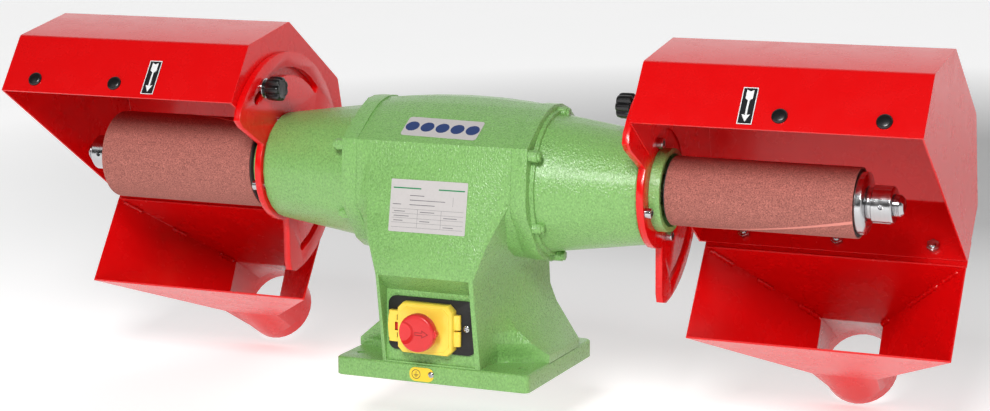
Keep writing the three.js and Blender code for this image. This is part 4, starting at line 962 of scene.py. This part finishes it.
class POLISHER_OT_funnels(bpy.types.Operator):
    """Welded sheet funnels: wide mouth, four sloping panels, square throat and round spout"""

    bl_idname = "polisher.funnels"
    bl_label = "Funnels"

    def execute(self, context):
        settle_pair(self.funnel(context.scene.polisher_sheet), "funnel_left", "red_powder_coat", "hopper")
        return {"FINISHED"}

    def ring(self, width, low, high):
        """A rectangle across the machine between two (y, z) points."""
        dy, dz = direction(low, high)
        bpy.ops.mesh.primitive_plane_add(
            size=1.0, location=(FUNNEL_MIDDLE, *midway(low, high)), rotation=(math.atan2(dz, dy), 0.0, 0.0))
        bpy.context.object.scale = (width, math.dist(low, high), 1.0)
        return bake(bpy.context.object)

    def on_plane(self, low, high):
        """A test for edges that lie in the plane through two (y, z) points and along the machine."""
        dy, dz = direction(low, high)
        return lambda edge: all(
            abs((vertex.co.y - low[0]) * dz - (vertex.co.z - low[1]) * dy) < ON_PLANE
            for vertex in edge.verts)

    def funnel(self, settings):
        mouth = self.ring(FUNNEL_WIDTH, FUNNEL_FRONT, FUNNEL_REAR)
        throat = self.ring(THROAT_WIDTH, THROAT_FRONT, THROAT_REAR)
        bpy.ops.mesh.primitive_circle_add(
            vertices=SPOUT_POINTS, radius=SPOUT_RADIUS, fill_type="NOTHING",
            location=(FUNNEL_MIDDLE, *SPOUT_CENTRE), rotation=(math.pi / 2 - SPOUT_LEAN, 0.0, 0.0))
        spout = bake(bpy.context.object)
        way = (math.cos(SPOUT_LEAN), -math.sin(SPOUT_LEAN))
        side = (SPOUT_CENTRE[0] - way[1], SPOUT_CENTRE[1] + way[0])
        at_mouth = self.on_plane(FUNNEL_FRONT, FUNNEL_REAR)
        at_throat = self.on_plane(THROAT_FRONT, THROAT_REAR)
        at_spout = self.on_plane(SPOUT_CENTRE, side)
        funnel = joined("funnel_right", [mouth, throat, spout])
        edit(funnel)
        bpy.ops.mesh.select_all(action="SELECT")
        bpy.ops.mesh.delete(type="ONLY_FACE")
        pick(funnel, "EDGE", lambda edge: at_mouth(edge) or at_throat(edge))
        bpy.ops.mesh.bridge_edge_loops()
        pick(funnel, "EDGE", at_throat)
        bpy.ops.mesh.subdivide(number_cuts=THROAT_CUTS)
        pick(funnel, "EDGE", lambda edge: at_throat(edge) or at_spout(edge))
        bpy.ops.mesh.bridge_edge_loops()
        pick(funnel, "EDGE", at_spout)
        reach = (0.0, way[0] * SPOUT_LENGTH, way[1] * SPOUT_LENGTH)
        bpy.ops.mesh.extrude_region_move(TRANSFORM_OT_translate={"value": reach})
        face_outwards()
        thicken(funnel, SHEET)
        parts = [rounded(funnel, settings.broken, 2, FUNNEL_CREASE)]
        parts.append(rounded(self.strip(), settings.broken, 2, FUNNEL_CREASE))
        return joined("funnel_right", parts)

    def strip(self):
        """The strip that lies under the hood's lower back panel and takes the bolts."""
        heel, hip = HOOD_OUTLINE[5], HOOD_OUTLINE[4]
        dy, dz = direction(heel, hip)
        centre = (STRIP_FOOT + STRIP_TOP) / 2
        out = STRIP_GAP + SHEET / 2
        strip = block(
            (FUNNEL_MIDDLE, heel[0] + dy * centre + dz * out, heel[1] + dz * centre - dy * out),
            (FUNNEL_WIDTH, STRIP_TOP - STRIP_FOOT, SHEET), (math.atan2(dz, dy), 0.0, 0.0))
        edit(strip, "EDGE")
        bpy.ops.mesh.select_all(action="SELECT")
        bpy.ops.mesh.bevel(offset=STRIP_EDGE, segments=1, affect="EDGES")
        leave()
        return strip


class POLISHER_OT_welds(bpy.types.Operator):
    """Short runs of weld on the inner seams of the funnels, under the paint"""

    bl_idname = "polisher.welds"
    bl_label = "Funnel welds"

    def execute(self, context):
        for side, runs in WELD_RUNS.items():
            beads = []
            for toward, shares in zip((1, -1), runs):
                edge = FUNNEL_START if toward > 0 else HOOD_SPAN[1]
                mouth = self.in_corner(edge + toward * WELD_INSET, FUNNEL_REAR)
                throat = self.in_corner(FUNNEL_MIDDLE - toward * (THROAT_WIDTH / 2 - WELD_INSET), THROAT_REAR)
                beads.extend(self.bead(mouth, throat, *share) for share in shares)
            weld = joined(f"funnel_welds_{side}", beads)
            if side == "left":
                weld = sent_left(weld)
            settle(weld, f"hood_{side}", "red_powder_coat")
        return {"FINISHED"}

    def in_corner(self, x, corner):
        """A point of a seam, moved forward off the rear panel."""
        forward_y, forward_z = direction(FUNNEL_REAR, FUNNEL_FRONT)
        return Vector((x, corner[0] + forward_y * WELD_INSET, corner[1] + forward_z * WELD_INSET))

    def bead(self, start, end, first, last):
        """One run of weld: overlapping scales along the seam, from one share of its length to another."""
        origin = start.lerp(end, first)
        length = (end - start).length * (last - first)
        scales = max(3, round(length / BEAD_PITCH))
        profile = [(0.0, BEAD_TIP)]
        for i in range(scales):
            crest = BEAD_CREST + BEAD_SWELL * math.sin(2.3 * i)
            profile.extend([((i + 0.3) * length / scales, crest), ((i + 0.85) * length / scales, BEAD_DIP)])
        profile.append((length, BEAD_TIP))
        bead = lathe("bead", profile, origin, end - start, 12)
        shade_smooth(bead)
        return bead


class POLISHER_OT_spindle_ends(bpy.types.Operator):
    """Drums with their abrasive sleeves, the clamping flanges, nuts and threaded ends"""

    bl_idname = "polisher.spindle_ends"
    bl_label = "Spindle ends"

    def execute(self, context):
        for side, sign in SIDES:
            radius, end = SLEEVE_RADIUS[side], DRUM_END[side]
            face = end + FLANGE_REACH
            drum = self.drum(radius - SLEEVE_WALL, end - DRUM_START)
            sleeve = self.sleeve(radius, end - DRUM_START)
            self.turn("drum", side, sign, DRUM_START, drum, "drum_rubber", 72)
            self.turn("abrasive_sleeve", side, sign, DRUM_START, sleeve, "abrasive_cloth", 72)
            self.turn("drum_washer", side, sign, end, FLANGE_PROFILE, "bright_steel", 72)
            nut = self.turn("spindle_nut", side, sign, face, NUT_PROFILE, "bright_steel", 64)
            hole = (sign * (face + NUT_LENGTH / 2), -PIN_HOLE_FRONT, AXIS_HEIGHT)
            carve(nut, rod(hole, PIN_HOLE_RADIUS, PIN_HOLE_LENGTH, ACROSS, 24))
            self.thread(side, sign, face + NUT_LENGTH)
            self.joint(side, sign, radius)
        return {"FINISHED"}

    def turn(self, name, side, sign, start, profile, slot, steps):
        place = (sign * start, 0.0, AXIS_HEIGHT)
        piece = lathe(f"{name}_turned_{side}", profile, place, (sign, 0.0, 0.0), steps)
        rounded(piece, 0.0004)
        settle(piece, "spindle", slot)
        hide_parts(f"{name}_{side}")
        return piece

    def drum(self, radius, length):
        rim = radius * 0.5 + DRUM_HUB / 2
        return [(0.0, DRUM_BORE), (0.0, DRUM_HUB), (DRUM_DISH, DRUM_HUB), (DRUM_DISH, rim), (0.0, rim),
                (0.0, radius), (length, radius), (length, DRUM_BORE), (0.0, DRUM_BORE)]

    def sleeve(self, radius, length):
        inner = radius - SLEEVE_WALL + SLEEVE_FIT
        start, end = SLEEVE_BACK, length + SLEEVE_OVER
        return [(start, inner), (start, radius), (end, radius), (end, inner), (start, inner)]

    def thread(self, side, sign, start):
        """Ridges of the screw thread on the end of the spindle, one pitch apart."""
        profile = [(THREAD_START, THREAD_CORE)]
        for i in range(round(THREAD_LENGTH / THREAD_PITCH)):
            profile.append((THREAD_START + (i + 0.5) * THREAD_PITCH, THREAD_CREST))
            profile.append((THREAD_START + (i + 1.0) * THREAD_PITCH, THREAD_ROOT))
        profile.extend([(profile[-1][0], THREAD_CORE), profile[0]])
        place = (sign * start, 0.0, AXIS_HEIGHT)
        settle(lathe(f"spindle_thread_{side}", profile, place, (sign, 0.0, 0.0)), "spindle", "bright_steel")

    def joint(self, side, sign, radius):
        """The slanting joint of the abrasive cloth: a strip proud of the grit, wider at the free end."""
        start, end = DRUM_START + JOINT_INSET, DRUM_END[side] + JOINT_OVER
        points, faces = [], []
        for i in range(JOINT_STEPS + 1):
            x = start + (end - start) * i / JOINT_STEPS
            half = JOINT_HALF + JOINT_WIDENS * i / JOINT_STEPS
            flat = half - JOINT_SLOPE
            for offset, lift in ((-half, 0.0), (-flat, JOINT_LIFT), (flat, JOINT_LIFT), (half, 0.0)):
                angle = math.radians(JOINT_FROM[side] + JOINT_TURN * i / JOINT_STEPS) + offset / radius
                reach = radius - JOINT_SINK + lift
                points.append((sign * x, -reach * math.cos(angle), AXIS_HEIGHT + reach * math.sin(angle)))
        for i in range(JOINT_STEPS):
            for j in range(3):
                a = i * 4 + j
                faces.append((a, a + 1, a + 5, a + 4))
        strip = drawn(f"cloth_joint_{side}", points, (), faces)
        edit(strip)
        face_outwards()
        thicken(strip, JOINT_FILM)
        # The raised joint is real; its lighter grit is a painted highlight along it.
        settle(strip, "spindle", "abrasive_cloth", "cloth_joint")


class POLISHER_OT_fasteners(bpy.types.Operator):
    """Socket cap screws of the swivel plates, cross-slotted screws and the flaps' plastic plugs"""

    bl_idname = "polisher.fasteners"
    bl_label = "Screws and plugs"

    def execute(self, context):
        for side, sign in SIDES:
            for i in range(PLATE_SCREWS):
                angle = math.radians(PLATE_SCREW_TURN + 360.0 / PLATE_SCREWS * i)
                place = (sign * PLATE_FACE, -PLATE_SCREW_CIRCLE * math.cos(angle),
                         AXIS_HEIGHT + PLATE_SCREW_CIRCLE * math.sin(angle))
                self.cap_screw(f"plate_screw_{i + 1}_{side}", place, sign)
        for screw in CROSS_SCREWS:
            self.cross_screw(*screw)
        dy, dz = direction(HOOD_OUTLINE[0], HOOD_OUTLINE[1])
        spot = (HOOD_OUTLINE[0][0] + dy * PLUG_UP, HOOD_OUTLINE[0][1] + dz * PLUG_UP)
        for i in range(2):
            x = HOOD_SPAN[0] + (PLUG_NEAR_SHARE + i * PLUG_PITCH_SHARE) * (HOOD_SPAN[1] - HOOD_SPAN[0])
            plug = lathe(f"flap_plug_{i + 1}_right", PLUG_PROFILE, (x, *spot), (0.0, -dz, dy), 40)
            rounded(plug, 0.0004)
            settle_pair(plug, f"flap_plug_{i + 1}_left", "black_plastic", f"hood_plug_{i + 1}")
        return {"FINISHED"}

    def cap_screw(self, node, place, sign):
        screw = lathe(f"socket_{node}", CAP_PROFILE, place, (sign, 0.0, 0.0), 40)
        top = (place[0] + sign * CAP_HEIGHT, *place[1:])
        carve(screw, rod(top, CAP_SOCKET, CAP_HEIGHT, ALONG, 6))
        rounded(screw, 0.0002, 1)
        settle(screw, "stand", "bright_steel")
        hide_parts(node)

    def cross_screw(self, node, place, radius, rise):
        foot, shank = -0.003, radius * 0.6
        profile = [(foot, 0.0), (foot, shank), (0.0, shank), (0.0, radius), (rise * 0.35, radius),
                   (rise * 0.75, radius * 0.86), (rise, radius * 0.5), (rise, 0.0)]
        screw = lathe(f"slotted_{node}", profile, place, (0.0, -1.0, 0.0), 40)
        for turn in (CROSS_TURN, CROSS_TURN + math.pi / 2):
            carve(screw, block((place[0], place[1] - rise, place[2]),
                               (radius * 1.25, rise * 1.1, radius * 0.3), (0.0, turn, 0.0)))
        rounded(screw, 0.00015, 1)
        settle(screw, "stand", "bright_steel")
        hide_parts(node)


class POLISHER_OT_knobs(bpy.types.Operator):
    """Clamping knobs of the swivel plates, lobed grips on a narrow neck, and the round washers"""

    bl_idname = "polisher.knobs"
    bl_label = "Clamping knobs"

    def execute(self, context):
        for side, sign in SIDES:
            y, z = self.middle(f"clamp_knob_{side}")
            knob = self.grip(f"lobed_knob_{side}", (sign * (NOSE_FACE - KNOB_WASHER), y, z), -sign)
            rounded(knob, 0.0003)
            settle(knob, f"knob_{side}", "black_plastic")
            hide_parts(f"clamp_knob_{side}")
            for node, thickness in (("clamp_stud", KNOB_WASHER), ("guide_bolt", SHEET)):
                place = (sign * NOSE_FACE, *self.middle(f"{node}_{side}"))
                washer = lathe(f"washer_{node}_{side}", self.washer(thickness), place, (-sign, 0.0, 0.0))
                rounded(washer, 0.0001, 1)
                settle(washer, f"hood_{side}", "bright_steel")
        return {"FINISHED"}

    def middle(self, node):
        """Where a piece of the frame stands across the machine, as (y, z)."""
        box = [NODES[node].matrix_world @ Vector(corner) for corner in NODES[node].bound_box]
        return (sum(box, Vector()) / 8).yz

    def washer(self, thickness):
        low, high = WASHER_GAP, thickness + WASHER_GAP
        face = WASHER_RADIUS - WASHER_EDGE
        return [(low, WASHER_BORE), (low, face), (WASHER_EDGE, WASHER_RADIUS),
                (high - WASHER_EDGE, WASHER_RADIUS), (high, face), (high, WASHER_BORE), (low, WASHER_BORE)]

    def groove(self, turn):
        """Share of the groove's depth at a turn: 1 in the middle of a groove, 0 on a lobe."""
        pitch = math.tau / KNOB_LOBES
        away = abs((turn + pitch / 2) % pitch - pitch / 2)
        return math.exp(-(away / KNOB_GROOVE) ** 2)

    def grip(self, name, foot, way):
        """The knob's outside: rings of points round its axis, joined by faces and closed at both ends."""
        steps = KNOB_LOBES * KNOB_STEPS
        x, y, z = foot
        points = []
        for along, radius, depth in KNOB_RINGS:
            for i in range(steps):
                turn = math.tau * i / steps
                reach = radius - depth * self.groove(turn)
                points.append((x + way * along, y + reach * math.cos(turn), z + reach * math.sin(turn)))
        faces = [tuple(range(steps)), tuple(range((len(KNOB_RINGS) - 1) * steps, len(KNOB_RINGS) * steps))]
        for ring in range(len(KNOB_RINGS) - 1):
            for i in range(steps):
                a, b = ring * steps + i, ring * steps + (i + 1) % steps
                faces.append((a, b, b + steps, a + steps))
        knob = drawn(name, points, (), faces)
        edit(knob)
        face_outwards()
        return knob


class POLISHER_OT_mushroom(bpy.types.Operator):
    """Stop mushroom with its thumb hollow, lug and outlined arrow, and the front of the lid's latch"""

    bl_idname = "polisher.mushroom"
    bl_label = "Stop mushroom"

    def execute(self, context):
        x, y, z = MUSHROOM_FOOT
        right, up = (1.0, 0.0, 0.0), (0.0, 0.0, 1.0)
        head = lathe("mushroom_head", MUSHROOM_PROFILE, MUSHROOM_FOOT, (0.0, -1.0, 0.0), 72)
        shade_smooth(head)
        lug = cutout("lug", [LUG_OUTLINE], (x, y - LUG_FOOT, z), right, up, LUG_HEIGHT)
        small, large = HOLLOW_RADII
        bpy.ops.mesh.primitive_cone_add(
            vertices=64, radius1=small, radius2=large, depth=2 * HOLLOW_HALF,
            rotation=(math.pi / 2, 0.0, HOLLOW_LEAN),
            location=(x + HOLLOW_X + math.sin(HOLLOW_LEAN) * HOLLOW_HALF,
                      y - MUSHROOM_HEIGHT + HOLLOW_DEPTH - math.cos(HOLLOW_LEAN) * HOLLOW_HALF, z))
        carve(head, context.object)
        whole = joined("mushroom_head", [rounded(piece, 0.0005, 2, 35.0) for piece in (head, lug)])
        settle(whole, "mushroom", "stop_red_plastic")
        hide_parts("stop_mushroom")
        # The arrow is a darker red than the mushroom: painted shade, standing in for the shadow in an
        # engraved outline.
        arrow = cutout("mushroom_arrow", traced(PRESS_ARROW, PRESS_ARROW_LINE),
                       (x, y - MUSHROOM_HEIGHT + PRESS_ARROW_SINK, z), right, up, PRESS_ARROW_RISE)
        settle(arrow, "mushroom", "stop_red_plastic", "arrow_painted_shade")
        self.clip(x, z, right, up)
        return {"FINISHED"}

    def clip(self, x, z, right, up):
        """Bulged front of the lid's latch, open beside the lid where its red tab shows."""
        below = [(along, -height) for along, height in reversed(CLIP_SIDE[:-1])]
        outline = [(CLIP_EDGE, CLIP_HALF), *CLIP_SIDE, *below, (CLIP_EDGE, -CLIP_HALF)]
        inner = CLIP_EDGE - CLIP_GAP_DEPTH
        outline += [(CLIP_EDGE, -CLIP_GAP), (inner, -CLIP_GAP), (inner, CLIP_GAP), (CLIP_EDGE, CLIP_GAP)]
        front = cutout("lid_clip_front", [outline], (x, CLIP_FACE, z), right, up, CLIP_RISE)
        for height in CLIP_CUTS:
            carve(front, block((x + CLIP_CUT_X, CLIP_FACE - CLIP_RISE / 2, z + height), CLIP_CUT_SIZE))
        rounded(front, 0.0004, 2, 35.0)
        settle(front, "lid", "yellow_plastic")


class POLISHER_OT_labels(bpy.types.Operator):
    """Blank data plate, safety strip, turning arrows on the flaps and the earth mark"""

    bl_idname = "polisher.labels"
    bl_label = "Labels"

    def execute(self, context):
        settings = context.scene.polisher_labels
        self.data_plate(settings)
        self.safety_strip(settings.thickness)
        self.earth_mark(settings.thickness)
        for side, _ in SIDES:
            for piece, slot in self.turning_mark(side, settings.thickness):
                if side == "left":
                    piece = sent_left(piece)
                settle(piece, f"hood_{side}", slot)
        return {"FINISHED"}

    def data_plate(self, settings):
        """Pale plate on the leaning front face with a green rule, empty boxes and grey rows."""
        width, height, film = settings.plate_width, settings.plate_height, settings.thickness
        base, up = on_face(PLATE_X, BROW, CREASE, PLATE_UP)
        right = (1.0, 0.0, PLATE_SKEW)
        settle(card("data_plate", base, right, up, (width, height), film, PLATE_CORNER), "stand", "pale_film")
        half = width / 2 - PLATE_MARGIN
        rows = [oblong(-half, y, 2 * half, LINE_THICK) for y in PLATE_LINES]
        rows += [oblong(x, low, LINE_THICK, high - low) for x, low, high in PLATE_COLUMNS]
        rows += [oblong(x, y, length, BAR_THICK) for x, y, length in PLATE_BARS]
        settle(cutout("data_plate_rows", rows, base, right, up, GREY_INK, film), "stand", "grey_ink")
        rule = [oblong(x, RULE_Y, length, RULE_THICK) for x, length in ((-half, RULE_LEFT), RULE_RIGHT)]
        settle(cutout("data_plate_rule", rule, base, right, up, INK, film), "stand", "green_ink")

    def safety_strip(self, film):
        """Pale strip with five plain blue discs on the flat above the crease."""
        base, (_, dy, dz) = on_face(SAFETY_X, CREASE, CROWN_EDGE, SAFETY_UP)
        right, up = (1.0, -SAFETY_SKEW * dy, -SAFETY_SKEW * dz), (SAFETY_SKEW, dy, dz)
        settle(card("safety_strip", base, right, up, SAFETY_SIZE, film, SAFETY_CORNER), "stand", "pale_film")
        discs = [ring_points(DISC_FROM + i * DISC_PITCH, DISC_RADIUS, DISC_POINTS) for i in range(DISCS)]
        settle(cutout("safety_discs", discs, base, right, up, INK, film), "stand", "blue_ink")

    def earth_mark(self, film):
        """Yellow mark behind the earth screw, with the sign for earth."""
        right, up = (1.0, 0.0, 0.0), (0.0, 0.0, 1.0)
        mark = card("earth_mark", EARTH_PLACE, right, up, EARTH_SIZE, film, EARTH_CORNER)
        settle(mark, "stand", "yellow_film")
        outer, inner = [ring_points(EARTH_X, radius, EARTH_POINTS) for radius in EARTH_RING]
        sign = [[outer[i], outer[j], inner[j], inner[i]]
                for i, j in zip(range(EARTH_POINTS), (*range(1, EARTH_POINTS), 0))]
        sign += [oblong(EARTH_X - half, y - LINE_THICK, 2 * half, 2 * LINE_THICK) for y, half in EARTH_BARS]
        sign.append(oblong(EARTH_X - LINE_THICK, 0.0, 2 * LINE_THICK, EARTH_STEM))
        settle(cutout("earth_sign", sign, EARTH_PLACE, right, up, INK, film), "stand", "black_ink")

    def turning_mark(self, side, film):
        """Black sticker with a white frame and an arrow that points down, near the hood's inner end."""
        base, up = on_face(ARROW_X[side], HOOD_OUTLINE[0], HOOD_OUTLINE[1], ARROW_UP)
        right = (1.0, 0.0, 0.0)
        w, h = ARROW_HALF
        plate = card(f"turning_mark_{side}", base, right, up, (2 * w, 2 * h), film, ARROW_CORNER)
        line = ARROW_RIM - ARROW_EDGE
        white = [oblong(ARROW_EDGE - w, ARROW_EDGE - h, 2 * (w - ARROW_EDGE), line),
                 oblong(ARROW_EDGE - w, h - ARROW_RIM, 2 * (w - ARROW_EDGE), line),
                 oblong(ARROW_EDGE - w, ARROW_RIM - h, line, 2 * (h - ARROW_RIM)),
                 oblong(w - ARROW_RIM, ARROW_RIM - h, line, 2 * (h - ARROW_RIM)), ARROW_SHAFT, ARROW_HEAD]
        sign = cutout(f"turning_arrow_{side}", white, base, right, up, INK, film)
        return (plate, "black_film"), (sign, "white_ink")


CLASSES = (
    PaintSettings, SheetSettings, LabelSettings, StageSettings,
    POLISHER_OT_stage, POLISHER_OT_finishes, POLISHER_OT_hoods, POLISHER_OT_funnels, POLISHER_OT_welds,
    POLISHER_OT_spindle_ends, POLISHER_OT_fasteners, POLISHER_OT_knobs, POLISHER_OT_mushroom,
    POLISHER_OT_labels,
)


class POLISHER_PT_panel(bpy.types.Panel):
    """Lists the machine's settings and the operators that make it"""

    bl_idname = "POLISHER_PT_panel"
    bl_label = "Drum polishing machine"
    bl_space_type = "VIEW_3D"
    bl_region_type = "UI"
    bl_category = "Polisher"

    def draw(self, context):
        scene = context.scene
        groups = (scene.polisher_paint, scene.polisher_sheet, scene.polisher_labels, scene.polisher_stage)
        for group in groups:
            for name in group.bl_rna.properties.keys():
                if name not in ("rna_type", "name"):
                    self.layout.prop(group, name)
        for operator in CLASSES:
            if issubclass(operator, bpy.types.Operator):
                self.layout.operator(operator.bl_idname)


def register():
    for cls in (*CLASSES, POLISHER_PT_panel):
        bpy.utils.register_class(cls)
    bpy.types.Scene.polisher_paint = bpy.props.PointerProperty(type=PaintSettings)
    bpy.types.Scene.polisher_sheet = bpy.props.PointerProperty(type=SheetSettings)
    bpy.types.Scene.polisher_labels = bpy.props.PointerProperty(type=LabelSettings)
    bpy.types.Scene.polisher_stage = bpy.props.PointerProperty(type=StageSettings)


def unregister():
    del bpy.types.Scene.polisher_stage
    del bpy.types.Scene.polisher_labels
    del bpy.types.Scene.polisher_sheet
    del bpy.types.Scene.polisher_paint
    for cls in reversed((*CLASSES, POLISHER_PT_panel)):
        bpy.utils.unregister_class(cls)


def main():
    register()
    bpy.ops.polisher.stage()
    bpy.ops.polisher.finishes()
    bpy.ops.polisher.hoods()
    bpy.ops.polisher.funnels()
    bpy.ops.polisher.welds()
    bpy.ops.polisher.spindle_ends()
    bpy.ops.polisher.fasteners()
    bpy.ops.polisher.knobs()
    bpy.ops.polisher.mushroom()
    bpy.ops.polisher.labels()


if __name__ == "__main__":
    main()
